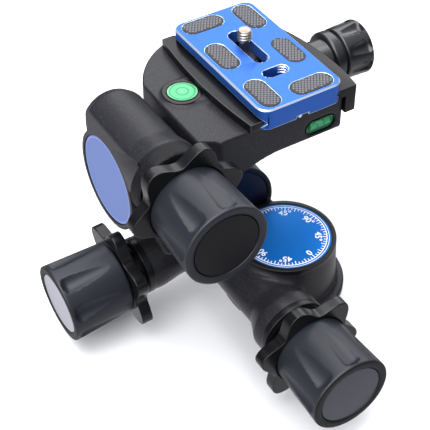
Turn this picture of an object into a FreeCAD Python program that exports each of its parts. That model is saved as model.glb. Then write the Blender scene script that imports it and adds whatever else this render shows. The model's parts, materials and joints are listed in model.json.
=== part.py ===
import FreeCAD, Part
import Sketcher
import math
import os

# Three way geared photo head. Millimetres, +Z up.
# The origin is the centre of the contact face on the tripod, on the pan axis.
# -Y is the front, where the tilt and pan knobs point; the roll knob points to -X.

SIZES = {
    # Geared unit: wheel axis, worm axis and the barrel round the worm.
    "gear_module": 0.75,
    "tooth_rise": 0.6375,
    "wheel_teeth": 36,
    "wheel_width": 7.0,
    "worm_pitch_radius": 5.5,
    "flank_play": 0.2,
    "tip_play": 0.15,
    "pan_barrel_radius": 11.2,
    "roll_barrel_radius": 11.6,
    "tilt_barrel_radius": 14.2,
    "pan_collar_radius": 15.0,
    "roll_collar_radius": 12.8,
    "tilt_collar_radius": 15.8,
    "pan_collar_mouth": 36.6,
    "roll_collar_mouth": 42.9,
    "tilt_collar_mouth": 36.6,
    "barrel_rear": 17.0,
    "barrel_rounding": 6.0,
    "collar_swell": 8.0,
    "collar_band": 3.0,
    "collar_length": 16.6,
    "collar_lip": 0.6,
    "worm_bore_radius": 9.2,
    "sleeve_bore_radius": 10.6,
    "sleeve_bore_depth": 7.0,
    "housing_radius": 21.5,
    "spot_height": 5.0,
    "unit_half_width": 11.0,
    "wheel_room_radius": 15.0,
    "wheel_room_play": 0.7,
    # Spindle that carries the wheel, its bush, nut and end disc.
    "spindle_root_radius": 10.0,
    "journal_radius": 9.0,
    "bush_wall": 2.0,
    "running_gap": 0.05,
    "face_gap": 0.4,
    "overlap": 1.0,
    "wheel_seat_radius": 6.0,
    "nut_thread_radius": 5.0,
    "nut_height": 3.8,
    "nut_corner_radius": 10.0,
    "disc_post_radius": 3.0,
    "disc_radius": 19.2,
    "disc_thickness": 1.3,
    "disc_inset": 0.4,
    "disc_gap": 0.3,
    # Worm, its two bearings, the release ring and the knob.
    "worm_core_radius": 4.4,
    "worm_thread_turns": 7,
    "worm_neck_radius": 4.0,
    "worm_tail_radius": 3.0,
    "bearing_width": 3.5,
    "bearing_spacing": 10.6,
    "ring_length": 8.8,
    "ring_radius": 17.6,
    "ring_neck_radius": 12.0,
    "ring_bore_radius": 6.0,
    "ring_sleeve_length": 6.6,
    "lobe_count": 6,
    "lobe_height": 6.4,
    "lobe_sharpness": 1.0,
    "lobe_steps": 10,
    "lobe_thickness": 5.0,
    "pan_lobe_turn": -12.0,
    "roll_lobe_turn": 58.0,
    "tilt_lobe_turn": 39.0,
    "ring_gap": 0.4,
    "knob_length": 28.2,
    "knob_radius": 17.4,
    "knob_inner_radius": 16.1,
    "knob_chamfer": 1.2,
    "flute_count": 8,
    "flute_radius": 6.0,
    "flute_depth": 1.75,
    "flute_run": 17.5,
    "flute_margin": 8.4,
    "cap_radius": 13.8,
    "cap_thickness": 2.4,
    "cap_inset": 0.4,
    "screw_head_radius": 3.5,
    "screw_head_height": 3.0,
    "screw_shank_radius": 1.5,
    "screw_length": 12.0,
    "screw_room_radius": 8.0,
    "screw_room_depth": 5.6,
    # Pan stage: base plate, worm height, dial.
    "base_radius": 22.0,
    "base_thickness": 6.1,
    "base_edge": 1.0,
    "tripod_thread_radius": 4.0,
    "tripod_thread_length": 12.0,
    "bush_radius": 6.0,
    "pan_worm_height": 19.0,
    "pan_floor": 6.5,
    "dial_height": 34.4,
    "dial_radius": 20.3,
    "dial_rim_radius": 21.6,
    "pan_foot_radius": 23.0,
    "skirt_radius": 26.4,
    "skirt_height": 4.5,
    # Roll stage.
    "roll_axis_x": -13.0,
    "roll_axis_y": 34.0,
    "roll_axis_z": 37.0,
    "roll_droop": 3.8,
    "bridge_left": -25.0,
    "bridge_right": 9.0,
    "bridge_front": 4.0,
    "bridge_bottom": 10.0,
    "bridge_top": 30.0,
    "arm_thickness": 10.5,
    "arm_radius": 20.0,
    "arm_low_point": 12.0,
    "arm_root_top": 51.2,
    "arm_root_play": 1.0,
    "arm_cheek_top": 64.0,
    "arm_cheek_left": 58.0,
    "arm_underside": 44.0,
    "arm_underside_drop": 3.0,
    # Tilt stage and platform.
    "tilt_axis_x": -52.0,
    "tilt_axis_y": 38.0,
    "tilt_axis_z": 66.0,
    "root_radius": 16.0,
    "root_thickness": 10.0,
    "web_half_depth": 15.0,
    "platform_top": 92.5,
    "platform_bottom": 76.2,
    "platform_front": 6.3,
    "platform_right": 30.0,
    "platform_left": -35.7,
    "platform_front_left": -28.6,
    "step_back": 12.0,
    "step_rise": 4.0,
    "left_corner_y": 54.5,
    "arc_middle_x": -29.2,
    "arc_middle_y": 65.0,
    "rear_left_x": -12.4,
    "rear_left_y": 76.5,
    "rear_right_rounding": 14.0,
    "belly_start_x": 2.0,
    "belly_depth": 9.8,
    "belly_steps": 8,
    "boss_radius": 8.2,
    "boss_height": 1.2,
    "boss_x": -25.0,
    "boss_y": 41.0,
    "boss_tail_x": -16.5,
    "boss_tail_y": 31.0,
    "round_vial_radius": 6.4,
    "round_vial_depth": 5.0,
    "round_vial_proud": 0.3,
    "tube_vial_x": 19.5,
    "tube_vial_z": 81.3,
    "tube_vial_length": 14.8,
    "tube_vial_radius": 3.6,
    "tube_vial_depth": 5.0,
    # Clamp.
    "plate_x": 8.0,
    "plate_y": 38.0,
    "plate_width": 39.0,
    "plate_length": 70.0,
    "plate_thickness": 9.4,
    "plate_lift": 0.1,
    "plate_corner": 5.0,
    "plate_chamfer": 0.7,
    "dovetail_width": 38.0,
    "waist_width": 33.0,
    "dovetail_foot": 0.6,
    "waist_height": 3.1,
    "shoulder_height": 5.1,
    "jaw_play": 0.2,
    "jaw_height": 3.9,
    "jaw_front": 5.0,
    "jaw_rear": 74.0,
    "jaw_end_x": -15.5,
    "jaw_middle_x": -18.2,
    "right_jaw_x": 36.4,
    "right_jaw_bow_y": 22.0,
    "right_jaw_bow": 9.0,
    "right_jaw_bottom": 84.0,
    "right_jaw_gap": 0.3,
    "right_jaw_rear": 66.0,
    "clamp_seat_x": 36.0,
    "clamp_seat_radius": 9.6,
    "clamp_screw_z": 86.0,
    "clamp_screw_radius": 3.0,
    "clamp_screw_length": 24.0,
    "clamp_screw_depth": 18.0,
    "clamp_screw_play": 0.4,
    "clamp_neck_radius": 9.0,
    "clamp_ring_x": 42.8,
    "clamp_ring_radius": 11.4,
    "clamp_ring_width": 4.4,
    "clamp_groove_radius": 10.4,
    "clamp_groove_width": 1.6,
    "clamp_edge": 0.8,
    "clamp_knob_radius": 12.1,
    "clamp_knob_end": 61.4,
    "clamp_knob_flutes": 8,
    "clamp_flute_radius": 4.4,
    "clamp_flute_depth": 1.2,
    "clamp_knob_margin": 1.6,
    "clamp_cap_radius": 8.5,
    "clamp_cap_thickness": 1.6,
    "guide_pin_radius": 2.0,
    "guide_pin_offset": 16.0,
    "guide_pin_z": 88.4,
    "guide_pin_length": 14.0,
    # Quick release plate.
    "pad_length": 19.0,
    "pad_width": 9.0,
    "pad_pocket": 0.8,
    "pad_proud": 0.3,
    "pad_play": 0.15,
    "end_pad_x": 7.4,
    "end_pad_y": 28.9,
    "corner_pad_x": 12.4,
    "corner_pad_y": 23.9,
    "side_pad_x": 12.6,
    "side_pad_y": 5.2,
    "slot_width": 6.8,
    "slot_near_y": 31.0,
    "slot_far_y": 56.0,
    "slot_room_width": 15.0,
    "slot_room_height": 4.0,
    "cross_slot_y": 23.4,
    "cross_slot_length": 11.5,
    "cross_slot_width": 5.6,
    "camera_screw_y": 46.3,
    "camera_thread_radius": 3.15,
    "camera_thread_length": 5.2,
    "camera_neck_radius": 2.1,
    "camera_screw_rise": 6.6,
    "camera_screw_tip": 0.6,
    "camera_head_lift": 0.6,
    "camera_head_radius": 6.6,
    "camera_head_height": 2.2,
    "camera_washer_radius": 5.4,
    "camera_washer_height": 0.8,
    "camera_washer_gap": 0.1,
}


class Size:
    """A number together with the sheet expression that gives it."""

    def __init__(self, value, text):
        self.value = value
        self.text = text

    def __add__(self, other):
        other = as_size(other)
        return Size(self.value + other.value, "(%s + %s)" % (self.text, other.text))

    def __radd__(self, other):
        return as_size(other) + self

    def __sub__(self, other):
        other = as_size(other)
        return Size(self.value - other.value, "(%s - %s)" % (self.text, other.text))

    def __rsub__(self, other):
        return as_size(other) - self

    def __mul__(self, other):
        other = as_size(other)
        return Size(self.value * other.value, "(%s * %s)" % (self.text, other.text))

    def __rmul__(self, other):
        return as_size(other) * self

    def __truediv__(self, other):
        other = as_size(other)
        return Size(self.value / other.value, "(%s / %s)" % (self.text, other.text))

    def __neg__(self):
        return as_size(0) - self


def as_size(number):
    if isinstance(number, Size):
        return number
    return Size(float(number), "%.9f" % number)


def sine(angle):
    return Size(math.sin(math.radians(angle.value)), "sin(%s)" % angle.text)


def cosine(angle):
    return Size(math.cos(math.radians(angle.value)), "cos(%s)" % angle.text)


class Sheet:
    """The driving dimensions, one spreadsheet cell each, read as attributes."""

    def __init__(self, document, sizes):
        cells = document.addObject("Spreadsheet::Sheet", "Sizes")
        for number, (name, value) in enumerate(sizes.items(), start=1):
            cell = "A%d" % number
            cells.set(cell, str(value))
            cells.setAlias(cell, name)
            setattr(self, name, Size(float(value), "Sizes." + name))


doc = FreeCAD.newDocument("ThreeWayHead")
s = Sheet(doc, SIZES)
doc.recompute()
parts = []

X_AXIS = FreeCAD.Vector(1, 0, 0)
Y_AXIS = FreeCAD.Vector(0, 1, 0)
Z_AXIS = FreeCAD.Vector(0, 0, 1)


# Helpers: objects whose sizes and places are tied to the sheet.

def bind(thing, **sizes):
    for name, value in sizes.items():
        thing.setExpression(name, as_size(value).text)
    return thing


def turn_to(direction, twist=0.0):
    """Rotation that points local Z along a direction, after a twist about local Z."""
    turn = FreeCAD.Rotation(Z_AXIS, FreeCAD.Vector(*direction))
    return turn.multiply(FreeCAD.Rotation(Z_AXIS, twist))


def frame(x_direction, z_direction):
    """Rotation with local X and local Z along two directions at a right angle."""
    x_way = FreeCAD.Vector(*x_direction)
    z_way = FreeCAD.Vector(*z_direction)
    return FreeCAD.Rotation(x_way, z_way.cross(x_way), z_way, "ZXY")


def place(thing, position=(0, 0, 0), rotation=None):
    rotation = rotation or FreeCAD.Rotation()
    values = [as_size(value) for value in position]
    thing.Placement = FreeCAD.Placement(FreeCAD.Vector(*[v.value for v in values]), rotation)
    for letter, value in zip("xyz", values):
        thing.setExpression("Placement.Base." + letter, value.text)
    return thing


def cylinder(radius, height, position=(0, 0, 0), direction=(0, 0, 1)):
    solid = doc.addObject("Part::Cylinder", "Cylinder")
    bind(solid, Radius=radius, Height=height)
    return place(solid, position, turn_to(direction))


def box(low, high):
    low = [as_size(value) for value in low]
    high = [as_size(value) for value in high]
    solid = doc.addObject("Part::Box", "Box")
    bind(solid, Length=high[0] - low[0], Width=high[1] - low[1], Height=high[2] - low[2])
    return place(solid, low)


def fuse(*shapes):
    result = doc.addObject("Part::MultiFuse", "Union")
    result.Shapes = list(shapes)
    result.Refine = True
    return result


def cut(base, *tools):
    tool = tools[0] if len(tools) == 1 else fuse(*tools)
    result = doc.addObject("Part::Cut", "Cut")
    result.Base = base
    result.Tool = tool
    result.Refine = True
    return result


def common(first, second):
    result = doc.addObject("Part::Common", "Common")
    result.Base = first
    result.Tool = second
    result.Refine = True
    return result


def part(label, thing):
    """Names a finished sub-part; its label is its file name."""
    thing.Label = label
    parts.append(thing)
    return thing


def origin_plane(body, role):
    return [f for f in body.Origin.OriginFeatures if f.Role == role][0]


def pin_point(sketch, curve, end, x, y):
    """Holds one sketch point at two sizes measured from the sketch's origin."""
    for kind, value, axis in (("DistanceX", x, -2), ("DistanceY", y, -1)):
        value = as_size(value)
        if abs(value.value) < 1e-9:
            sketch.addConstraint(Sketcher.Constraint("PointOnObject", curve, end, axis))
            continue
        number = sketch.addConstraint(Sketcher.Constraint(kind, -1, 1, curve, end, value.value))
        sketch.setExpression("Constraints[%d]" % number, value.text)


def new_sketch(body, role):
    sketch = body.newObject("Sketcher::SketchObject", "Sketch")
    sketch.AttachmentSupport = (origin_plane(body, role), [""])
    sketch.MapMode = "FlatFace"
    return sketch


def outline(body, role, points):
    """Closed outline of straight runs through points; a point is a pair of sizes."""
    sketch = new_sketch(body, role)
    ends = [FreeCAD.Vector(as_size(x).value, as_size(y).value, 0) for x, y in points]
    for number, start in enumerate(ends):
        sketch.addGeometry(Part.LineSegment(start, ends[(number + 1) % len(ends)]), False)
    for number in range(len(ends)):
        after = (number + 1) % len(ends)
        sketch.addConstraint(Sketcher.Constraint("Coincident", number, 2, after, 1))
    for number, (x, y) in enumerate(points):
        pin_point(sketch, number, 1, x, y)
    return sketch


def circle(body, role, radius, x=0, y=0):
    sketch = new_sketch(body, role)
    centre = FreeCAD.Vector(as_size(x).value, as_size(y).value, 0)
    radius = as_size(radius)
    sketch.addGeometry(Part.Circle(centre, Z_AXIS, radius.value), False)
    pin_point(sketch, 0, 3, x, y)
    number = sketch.addConstraint(Sketcher.Constraint("Radius", 0, radius.value))
    sketch.setExpression("Constraints[%d]" % number, radius.text)
    return sketch


def new_body(name):
    return doc.addObject("PartDesign::Body", name)


def turned(name, points):
    """Body turned about Z from an outline of radius and height pairs."""
    body = new_body(name)
    sketch = outline(body, "XZ_Plane", points)
    feature = body.newObject("PartDesign::Revolution", "Turning")
    feature.Profile = sketch
    feature.ReferenceAxis = (sketch, ["V_Axis"])
    feature.Angle = 360
    body.Tip = feature
    return body


def pad(body, sketch, length, offset=0):
    if as_size(offset).value:
        sketch.setExpression("AttachmentOffset.Base.z", as_size(offset).text)
    feature = body.newObject("PartDesign::Pad", "Pad")
    feature.Profile = sketch
    bind(feature, Length=length)
    body.Tip = feature
    return feature


def pocket(body, sketch, length, offset=0, reverse=False):
    if as_size(offset).value:
        sketch.setExpression("AttachmentOffset.Base.z", as_size(offset).text)
    feature = body.newObject("PartDesign::Pocket", "Pocket")
    feature.Profile = sketch
    feature.Reversed = reverse
    bind(feature, Length=length)
    body.Tip = feature
    return feature


def around(body, features, count):
    """Repeats features about the body's Z axis."""
    pattern = body.newObject("PartDesign::PolarPattern", "Round")
    pattern.Originals = features
    pattern.Axis = (origin_plane(body, "Z_Axis"), [""])
    pattern.Angle = 360
    bind(pattern, Occurrences=count)
    body.Tip = pattern
    return pattern


# Gear sizes that follow from the module and the number of teeth.

tooth_pitch = math.pi * s.gear_module
wheel_pitch_radius = s.gear_module * s.wheel_teeth / 2
worm_offset = wheel_pitch_radius + s.worm_pitch_radius
tooth_rise = s.tooth_rise
wheel_tip_radius = wheel_pitch_radius + tooth_rise
wheel_root_radius = wheel_pitch_radius - tooth_rise - s.tip_play * 2
worm_tip_radius = s.worm_pitch_radius + tooth_rise
flank_slope = math.tan(math.radians(20))

bush_radius_outer = s.journal_radius + s.running_gap + s.bush_wall
half_wheel = s.wheel_width / 2
room_back = half_wheel + s.wheel_room_play


class Unit:
    """Place of one geared unit: offset points from wheel axis to worm axis, worm
    points along the worm to its knob, and face points out of the end disc.
    Back and front are the depths of its housing on both sides of the wheel,
    and neighbour is the radius of what turns against the housing's back.
    Stations along the worm are measured from the point nearest the wheel axis."""

    def __init__(self, name, centre, offset, worm, face, **sizes):
        self.name = name
        self.centre = centre
        self.offset = offset
        self.worm = worm
        self.face = face
        self.back = sizes["back"]
        self.front = sizes["front"]
        self.rim_radius = sizes["rim_radius"]
        self.foot_radius = sizes["foot_radius"]
        self.disc_radius = sizes["disc_radius"]
        self.neighbour_radius = sizes["neighbour_radius"]
        self.barrel_radius = self.own("barrel_radius")
        self.collar_radius = self.own("collar_radius")
        self.collar_mouth = self.own("collar_mouth")
        self.barrel_front = self.collar_mouth - s.collar_length
        self.ring_start = self.collar_mouth + s.ring_gap
        self.ring_end = self.ring_start + s.ring_length
        self.knob_start = self.ring_end + s.ring_gap
        self.knob_end = self.knob_start + s.knob_length
        self.cap_floor = self.knob_end - s.cap_inset - s.cap_thickness
        self.shaft_end = self.cap_floor - s.screw_room_depth
        self.worm_centre = [as_size(c) + worm_offset * o for c, o in zip(centre, offset)]

    def own(self, size):
        return getattr(s, self.name + "_" + size)

    def on_worm(self, thing):
        way = [as_size(value).value for value in self.offset]
        along = [as_size(value).value for value in self.worm]
        return place(thing, self.worm_centre, frame(way, along))

    def on_spindle(self, thing):
        way = [as_size(value).value for value in self.offset]
        along = [as_size(value).value for value in self.face]
        return place(thing, self.centre, frame(way, along))


pan = Unit(
    "pan", (0, 0, s.pan_worm_height), (-1, 0, 0), (0, -1, 0), (0, 0, 1),
    back=s.pan_worm_height - s.pan_floor, front=s.dial_height - s.pan_worm_height,
    rim_radius=s.dial_rim_radius, foot_radius=s.pan_foot_radius,
    disc_radius=s.dial_radius, neighbour_radius=s.base_radius)
roll = Unit(
    "roll", (s.roll_axis_x, s.roll_axis_y, s.roll_axis_z),
    (sine(s.roll_droop), 0, -cosine(s.roll_droop)),
    (-cosine(s.roll_droop), 0, -sine(s.roll_droop)), (0, -1, 0),
    back=s.unit_half_width, front=s.unit_half_width,
    rim_radius=s.housing_radius, foot_radius=s.housing_radius,
    disc_radius=s.disc_radius, neighbour_radius=s.arm_radius)
tilt = Unit(
    "tilt", (s.tilt_axis_x, s.tilt_axis_y, s.tilt_axis_z),
    (0, 0, 1), (0, -1, 0), (-1, 0, 0),
    back=s.unit_half_width, front=s.unit_half_width,
    rim_radius=s.housing_radius, foot_radius=s.housing_radius,
    disc_radius=s.disc_radius, neighbour_radius=s.root_radius)
units = [pan, roll, tilt]


# Moving pieces of a geared unit.

def worm_shaft(unit):
    """Worm cut on its shaft: tail journal, threaded core, long neck to the knob."""
    core = turned("WormCore", [
        (0, -(s.bearing_spacing + s.bearing_width)),
        (s.worm_tail_radius, -(s.bearing_spacing + s.bearing_width)),
        (s.worm_tail_radius, -s.bearing_spacing),
        (s.worm_core_radius, -s.bearing_spacing),
        (s.worm_core_radius, s.bearing_spacing),
        (s.worm_neck_radius, s.bearing_spacing),
        (s.worm_neck_radius, unit.shaft_end),
        (s.screw_shank_radius, unit.shaft_end),
        (s.screw_shank_radius, unit.shaft_end - s.screw_length),
        (0, unit.shaft_end - s.screw_length)])
    half_length = tooth_pitch.value * s.worm_thread_turns.value / 2
    spine = Part.makeHelix(tooth_pitch.value, 2 * half_length, s.worm_core_radius.value)
    half_at_pitch = tooth_pitch.value / 4 - s.flank_play.value
    rise = worm_tip_radius.value - s.worm_pitch_radius.value
    sunk = s.worm_pitch_radius.value - s.worm_core_radius.value + s.tip_play.value
    corners = []
    for radial, side in ((-sunk, -1), (rise, -1), (rise, 1), (-sunk, 1)):
        half = half_at_pitch - radial * flank_slope
        corners.append(FreeCAD.Vector(s.worm_pitch_radius.value + radial, 0, side * half))
    tooth = Part.makePolygon(corners + corners[:1])
    sweep = Part.BRepOffsetAPI.MakePipeShell(Part.Wire(spine.Edges))
    sweep.setFrenetMode(True)
    sweep.add(tooth)
    sweep.build()
    sweep.makeSolid()
    thread = doc.addObject("Part::Feature", "WormThread")
    thread.Shape = sweep.shape()
    thread.Placement = FreeCAD.Placement(FreeCAD.Vector(0, 0, -half_length), FreeCAD.Rotation())
    return part(unit.name + "_worm", unit.on_worm(fuse(core, thread)))


def worm_bearings(unit):
    """Two plain bearings that carry the worm, one behind and one before its thread."""
    rings = []
    for bore, start in (
            (s.worm_tail_radius, -(s.bearing_spacing + s.bearing_width)),
            (s.worm_neck_radius, s.bearing_spacing)):
        ring = cylinder(s.worm_bore_radius, s.bearing_width, (0, 0, start))
        hole = cylinder(bore + s.running_gap, s.bearing_width, (0, 0, start))
        rings.append(cut(ring, hole))
    pair = doc.addObject("Part::Compound", "Bearings")
    pair.Links = rings
    return part(unit.name + "_worm_bearings", unit.on_worm(pair))


def lobed_plate(start, thickness, turn):
    """Plate whose rim swells into even lobes, the first one at an angle."""
    points = []
    count = int(s.lobe_count.value)
    steps = int(s.lobe_steps.value) * count
    for number in range(steps):
        angle = 2 * math.pi * number / steps
        swell = ((1 + math.cos(count * angle)) / 2) ** s.lobe_sharpness.value
        radius = s.ring_radius.value + s.lobe_height.value * swell
        around_axis = angle + math.radians(turn.value)
        points.append(FreeCAD.Vector(
            radius * math.cos(around_axis), radius * math.sin(around_axis), 0))
    rim = Part.BSplineCurve()
    rim.interpolate(points, PeriodicFlag=True)
    face = Part.Face(Part.Wire(rim.toShape()))
    plate = doc.addObject("Part::Feature", "LobedPlate")
    plate.Shape = face.extrude(FreeCAD.Vector(0, 0, thickness.value))
    return place(plate, (0, 0, start))


def release_ring(unit):
    """Ring twisted to free the worm: lobed rim, neck and a sleeve inside the collar."""
    lobes_start = unit.ring_end - s.lobe_thickness
    neck = cylinder(s.ring_neck_radius, s.ring_length, (0, 0, unit.ring_start))
    sleeve_start = unit.ring_start - s.ring_sleeve_length
    sleeve_length = s.ring_sleeve_length + s.ring_length
    sleeve = cylinder(s.sleeve_bore_radius - s.running_gap, sleeve_length, (0, 0, sleeve_start))
    solid = fuse(neck, sleeve, lobed_plate(lobes_start, s.lobe_thickness, unit.own("lobe_turn")))
    bore = cylinder(s.ring_bore_radius, sleeve_length, (0, 0, sleeve_start))
    return part(unit.name + "_release_ring", unit.on_worm(cut(solid, bore)))


def flute(unit, number):
    """Leaning cylinder that runs out toward the ring, with a ball at its deep end."""
    deep_axis = s.knob_radius + s.flute_radius - s.flute_depth
    shallow_axis = s.knob_inner_radius + s.flute_radius
    start = unit.knob_end - s.flute_margin - s.flute_run
    angle = as_size(360 * number) / s.flute_count
    lean = math.atan2(deep_axis.value - shallow_axis.value, s.flute_run.value)
    way_x = math.sin(lean) * cosine(angle).value
    way_y = math.sin(lean) * sine(angle).value
    groove = cylinder(
        s.flute_radius, s.flute_run,
        (shallow_axis * cosine(angle), shallow_axis * sine(angle), start),
        (way_x, way_y, math.cos(lean)))
    ball = bind(doc.addObject("Part::Sphere", "Ball"), Radius=s.flute_radius)
    place(ball, (deep_axis * cosine(angle), deep_axis * sine(angle), start + s.flute_run))
    return fuse(groove, ball)


def knob(unit):
    """Fluted hand knob: flared grip, scooped flutes, recess for the end cap."""
    body = turned("Knob", [
        (s.worm_neck_radius, unit.knob_start),
        (s.knob_inner_radius - s.knob_chamfer, unit.knob_start),
        (s.knob_inner_radius, unit.knob_start + s.knob_chamfer),
        (s.knob_radius, unit.knob_end - s.knob_chamfer),
        (s.knob_radius - s.knob_chamfer, unit.knob_end),
        (s.cap_radius, unit.knob_end),
        (s.cap_radius, unit.cap_floor),
        (s.screw_room_radius, unit.cap_floor),
        (s.screw_room_radius, unit.shaft_end),
        (s.worm_neck_radius, unit.shaft_end)])
    flutes = [flute(unit, number) for number in range(int(s.flute_count.value))]
    return part(unit.name + "_knob", unit.on_worm(cut(body, *flutes)))


def knob_cap(unit):
    """Flat cap pressed into the knob's end."""
    cap_top = unit.cap_floor + s.cap_thickness
    body = turned("KnobCap", [
        (0, unit.cap_floor), (s.cap_radius, unit.cap_floor), (s.cap_radius, cap_top), (0, cap_top)])
    return part(unit.name + "_knob_cap", unit.on_worm(body))


def knob_screw(unit):
    """Socket screw in the shaft's end that holds the knob on."""
    head = cylinder(s.screw_head_radius, s.screw_head_height, (0, 0, unit.shaft_end))
    shank = cylinder(
        s.screw_shank_radius, s.screw_length, (0, 0, unit.shaft_end - s.screw_length))
    socket = doc.addObject("Part::Prism", "Socket")
    socket.Polygon = 6
    bind(socket, Circumradius=s.screw_shank_radius, Height=s.screw_head_height / 2)
    place(socket, (0, 0, unit.shaft_end + s.screw_head_height / 2))
    return part(unit.name + "_knob_screw", unit.on_worm(cut(fuse(head, shank), socket)))


def worm_wheel(unit):
    """Worm wheel: a rim of straight tooth gaps, one of them centred on the worm."""
    body = new_body("WormWheel")
    blank = pad(body, circle(body, "XY_Plane", wheel_tip_radius), s.wheel_width)
    blank.Midplane = True
    doc.recompute()
    half_at_pitch = tooth_pitch / 4 + s.flank_play
    over = s.gear_module
    depth = wheel_pitch_radius - wheel_root_radius
    rise = wheel_tip_radius + over - wheel_pitch_radius
    half_root = half_at_pitch - depth * flank_slope
    half_tip = half_at_pitch + rise * flank_slope
    gap = outline(body, "XY_Plane", [
        (wheel_root_radius, -half_root), (wheel_tip_radius + over, -half_tip),
        (wheel_tip_radius + over, half_tip), (wheel_root_radius, half_root)])
    tooth_gap = pocket(body, gap, s.wheel_width)
    tooth_gap.Midplane = True
    around(body, [tooth_gap], s.wheel_teeth)
    bore = pocket(body, circle(body, "XY_Plane", s.wheel_seat_radius), s.wheel_width)
    bore.Midplane = True
    return part(unit.name + "_worm_wheel", unit.on_spindle(body))


def spindle(unit, root_length, socket_radius, socket_depth):
    """Spindle of the driven side: root, journal, wheel seat, nut thread, disc post."""
    root_end = -(unit.back + s.face_gap)
    root_start = root_end - root_length
    disc_seat = unit.front - s.disc_inset - s.disc_thickness
    body = turned("Spindle", [
        (socket_radius, root_start),
        (s.spindle_root_radius, root_start),
        (s.spindle_root_radius, root_end),
        (s.journal_radius, root_end),
        (s.journal_radius, -half_wheel),
        (s.wheel_seat_radius, -half_wheel),
        (s.wheel_seat_radius, half_wheel),
        (s.nut_thread_radius, half_wheel),
        (s.nut_thread_radius, half_wheel + s.nut_height),
        (s.disc_post_radius, half_wheel + s.nut_height),
        (s.disc_post_radius, disc_seat),
        (0, disc_seat),
        (0, root_start + socket_depth),
        (socket_radius, root_start + socket_depth)])
    return part(unit.name + "_spindle", unit.on_spindle(body))


def spindle_nut(unit):
    """Hexagon nut that holds the wheel on the spindle."""
    hexagon = doc.addObject("Part::Prism", "Hexagon")
    hexagon.Polygon = 6
    bind(hexagon, Circumradius=s.nut_corner_radius, Height=s.nut_height)
    place(hexagon, (0, 0, half_wheel))
    hole = cylinder(s.nut_thread_radius, s.nut_height, (0, 0, half_wheel))
    return part(unit.name + "_spindle_nut", unit.on_spindle(cut(hexagon, hole)))


def spindle_bush(unit):
    """Bronze bush in the housing's back wall; the spindle's journal turns in it."""
    body = turned("Bush", [
        (s.journal_radius + s.running_gap, -unit.back),
        (bush_radius_outer, -unit.back),
        (bush_radius_outer, -room_back),
        (s.journal_radius + s.running_gap, -room_back)])
    return part(unit.name + "_spindle_bush", unit.on_spindle(body))


def end_disc(unit, label):
    """Thin disc on the spindle's post, sunk a little below the housing's face."""
    top = unit.front - s.disc_inset
    body = turned("EndDisc", [
        (0, top - s.disc_thickness), (unit.disc_radius, top - s.disc_thickness),
        (unit.disc_radius, top), (0, top)])
    return part(label, unit.on_spindle(body))


for unit in units:
    worm_shaft(unit)
    worm_bearings(unit)
    release_ring(unit)
    knob(unit)
    knob_cap(unit)
    knob_screw(unit)
    worm_wheel(unit)
    spindle_nut(unit)
    spindle_bush(unit)
end_disc(pan, "pan_dial")
end_disc(roll, "roll_disc")
end_disc(tilt, "tilt_disc")


# Housings: each unit gives a shell and the rooms inside it.

def unit_shell(unit):
    """Wheel housing, barrel and swelling collar of one unit, in the unit's places."""
    drum = turned("Drum", [
        (0, -unit.back), (unit.foot_radius, -unit.back), (unit.rim_radius, unit.front),
        (0, unit.front)])
    unit.on_spindle(drum)
    swell_start = unit.barrel_front + s.collar_swell
    rounding = s.barrel_rounding
    bevel = s.barrel_rounding * (1 - math.sqrt(0.5))
    barrel = turned("Barrel", [
        (0, -s.barrel_rear),
        (unit.barrel_radius - rounding, -s.barrel_rear),
        (unit.barrel_radius - bevel, bevel - s.barrel_rear),
        (unit.barrel_radius, rounding - s.barrel_rear),
        (unit.barrel_radius, unit.barrel_front),
        (unit.collar_radius, swell_start),
        (unit.collar_radius, swell_start + s.collar_band),
        (unit.collar_radius - s.collar_lip, unit.collar_mouth),
        (0, unit.collar_mouth)])
    unit.on_worm(barrel)
    # Where the barrel is thicker than the drum, it is faced flat on both sides.
    front_spot = turned("FrontSpot", [
        (0, unit.front), (unit.rim_radius, unit.front),
        (unit.rim_radius, unit.front + s.spot_height), (0, unit.front + s.spot_height)])
    behind = unit.neighbour_radius + s.wheel_room_play
    back_spot = turned("BackSpot", [
        (0, -unit.back), (behind, -unit.back),
        (behind, -unit.back - s.spot_height), (0, -unit.back - s.spot_height)])
    return [drum, cut(barrel, unit.on_spindle(front_spot), unit.on_spindle(back_spot))]


def unit_rooms(unit):
    """Rooms cut in a unit: wheel room, disc recess, bush seat and worm bore."""
    recess_floor = unit.front - s.disc_inset - s.disc_thickness - s.disc_gap
    rooms = turned("WheelRooms", [
        (0, -unit.back - s.face_gap),
        (bush_radius_outer, -unit.back - s.face_gap),
        (bush_radius_outer, -room_back),
        (s.wheel_room_radius, -room_back),
        (s.wheel_room_radius, recess_floor),
        (unit.disc_radius + s.disc_gap, recess_floor),
        (unit.disc_radius + s.disc_gap, unit.front + s.face_gap),
        (0, unit.front + s.face_gap)])
    unit.on_spindle(rooms)
    sleeve_floor = unit.collar_mouth - s.sleeve_bore_depth
    bore = turned("WormBore", [
        (0, -(s.bearing_spacing + s.bearing_width)),
        (s.worm_bore_radius, -(s.bearing_spacing + s.bearing_width)),
        (s.worm_bore_radius, sleeve_floor),
        (s.sleeve_bore_radius, sleeve_floor),
        (s.sleeve_bore_radius, unit.collar_mouth + s.face_gap),
        (0, unit.collar_mouth + s.face_gap)])
    unit.on_worm(bore)
    return [rooms, bore]


def lower_housing():
    """One casting: pan drum with its skirt, roll drum, both barrels, bridge between."""
    skirt = cylinder(s.skirt_radius, s.skirt_height, (0, 0, s.pan_floor))
    bridge = box(
        (s.bridge_left, s.bridge_front, s.bridge_bottom),
        (s.bridge_right, s.roll_axis_y + s.unit_half_width, s.bridge_top))
    solid = fuse(skirt, bridge, *unit_shell(pan), *unit_shell(roll))
    return part("lower_housing", cut(solid, *unit_rooms(pan), *unit_rooms(roll)))


# The platform's round root turns beside the tilt housing.

root_face = s.tilt_axis_x + s.unit_half_width + s.face_gap
root_end = root_face + s.root_thickness


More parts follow.
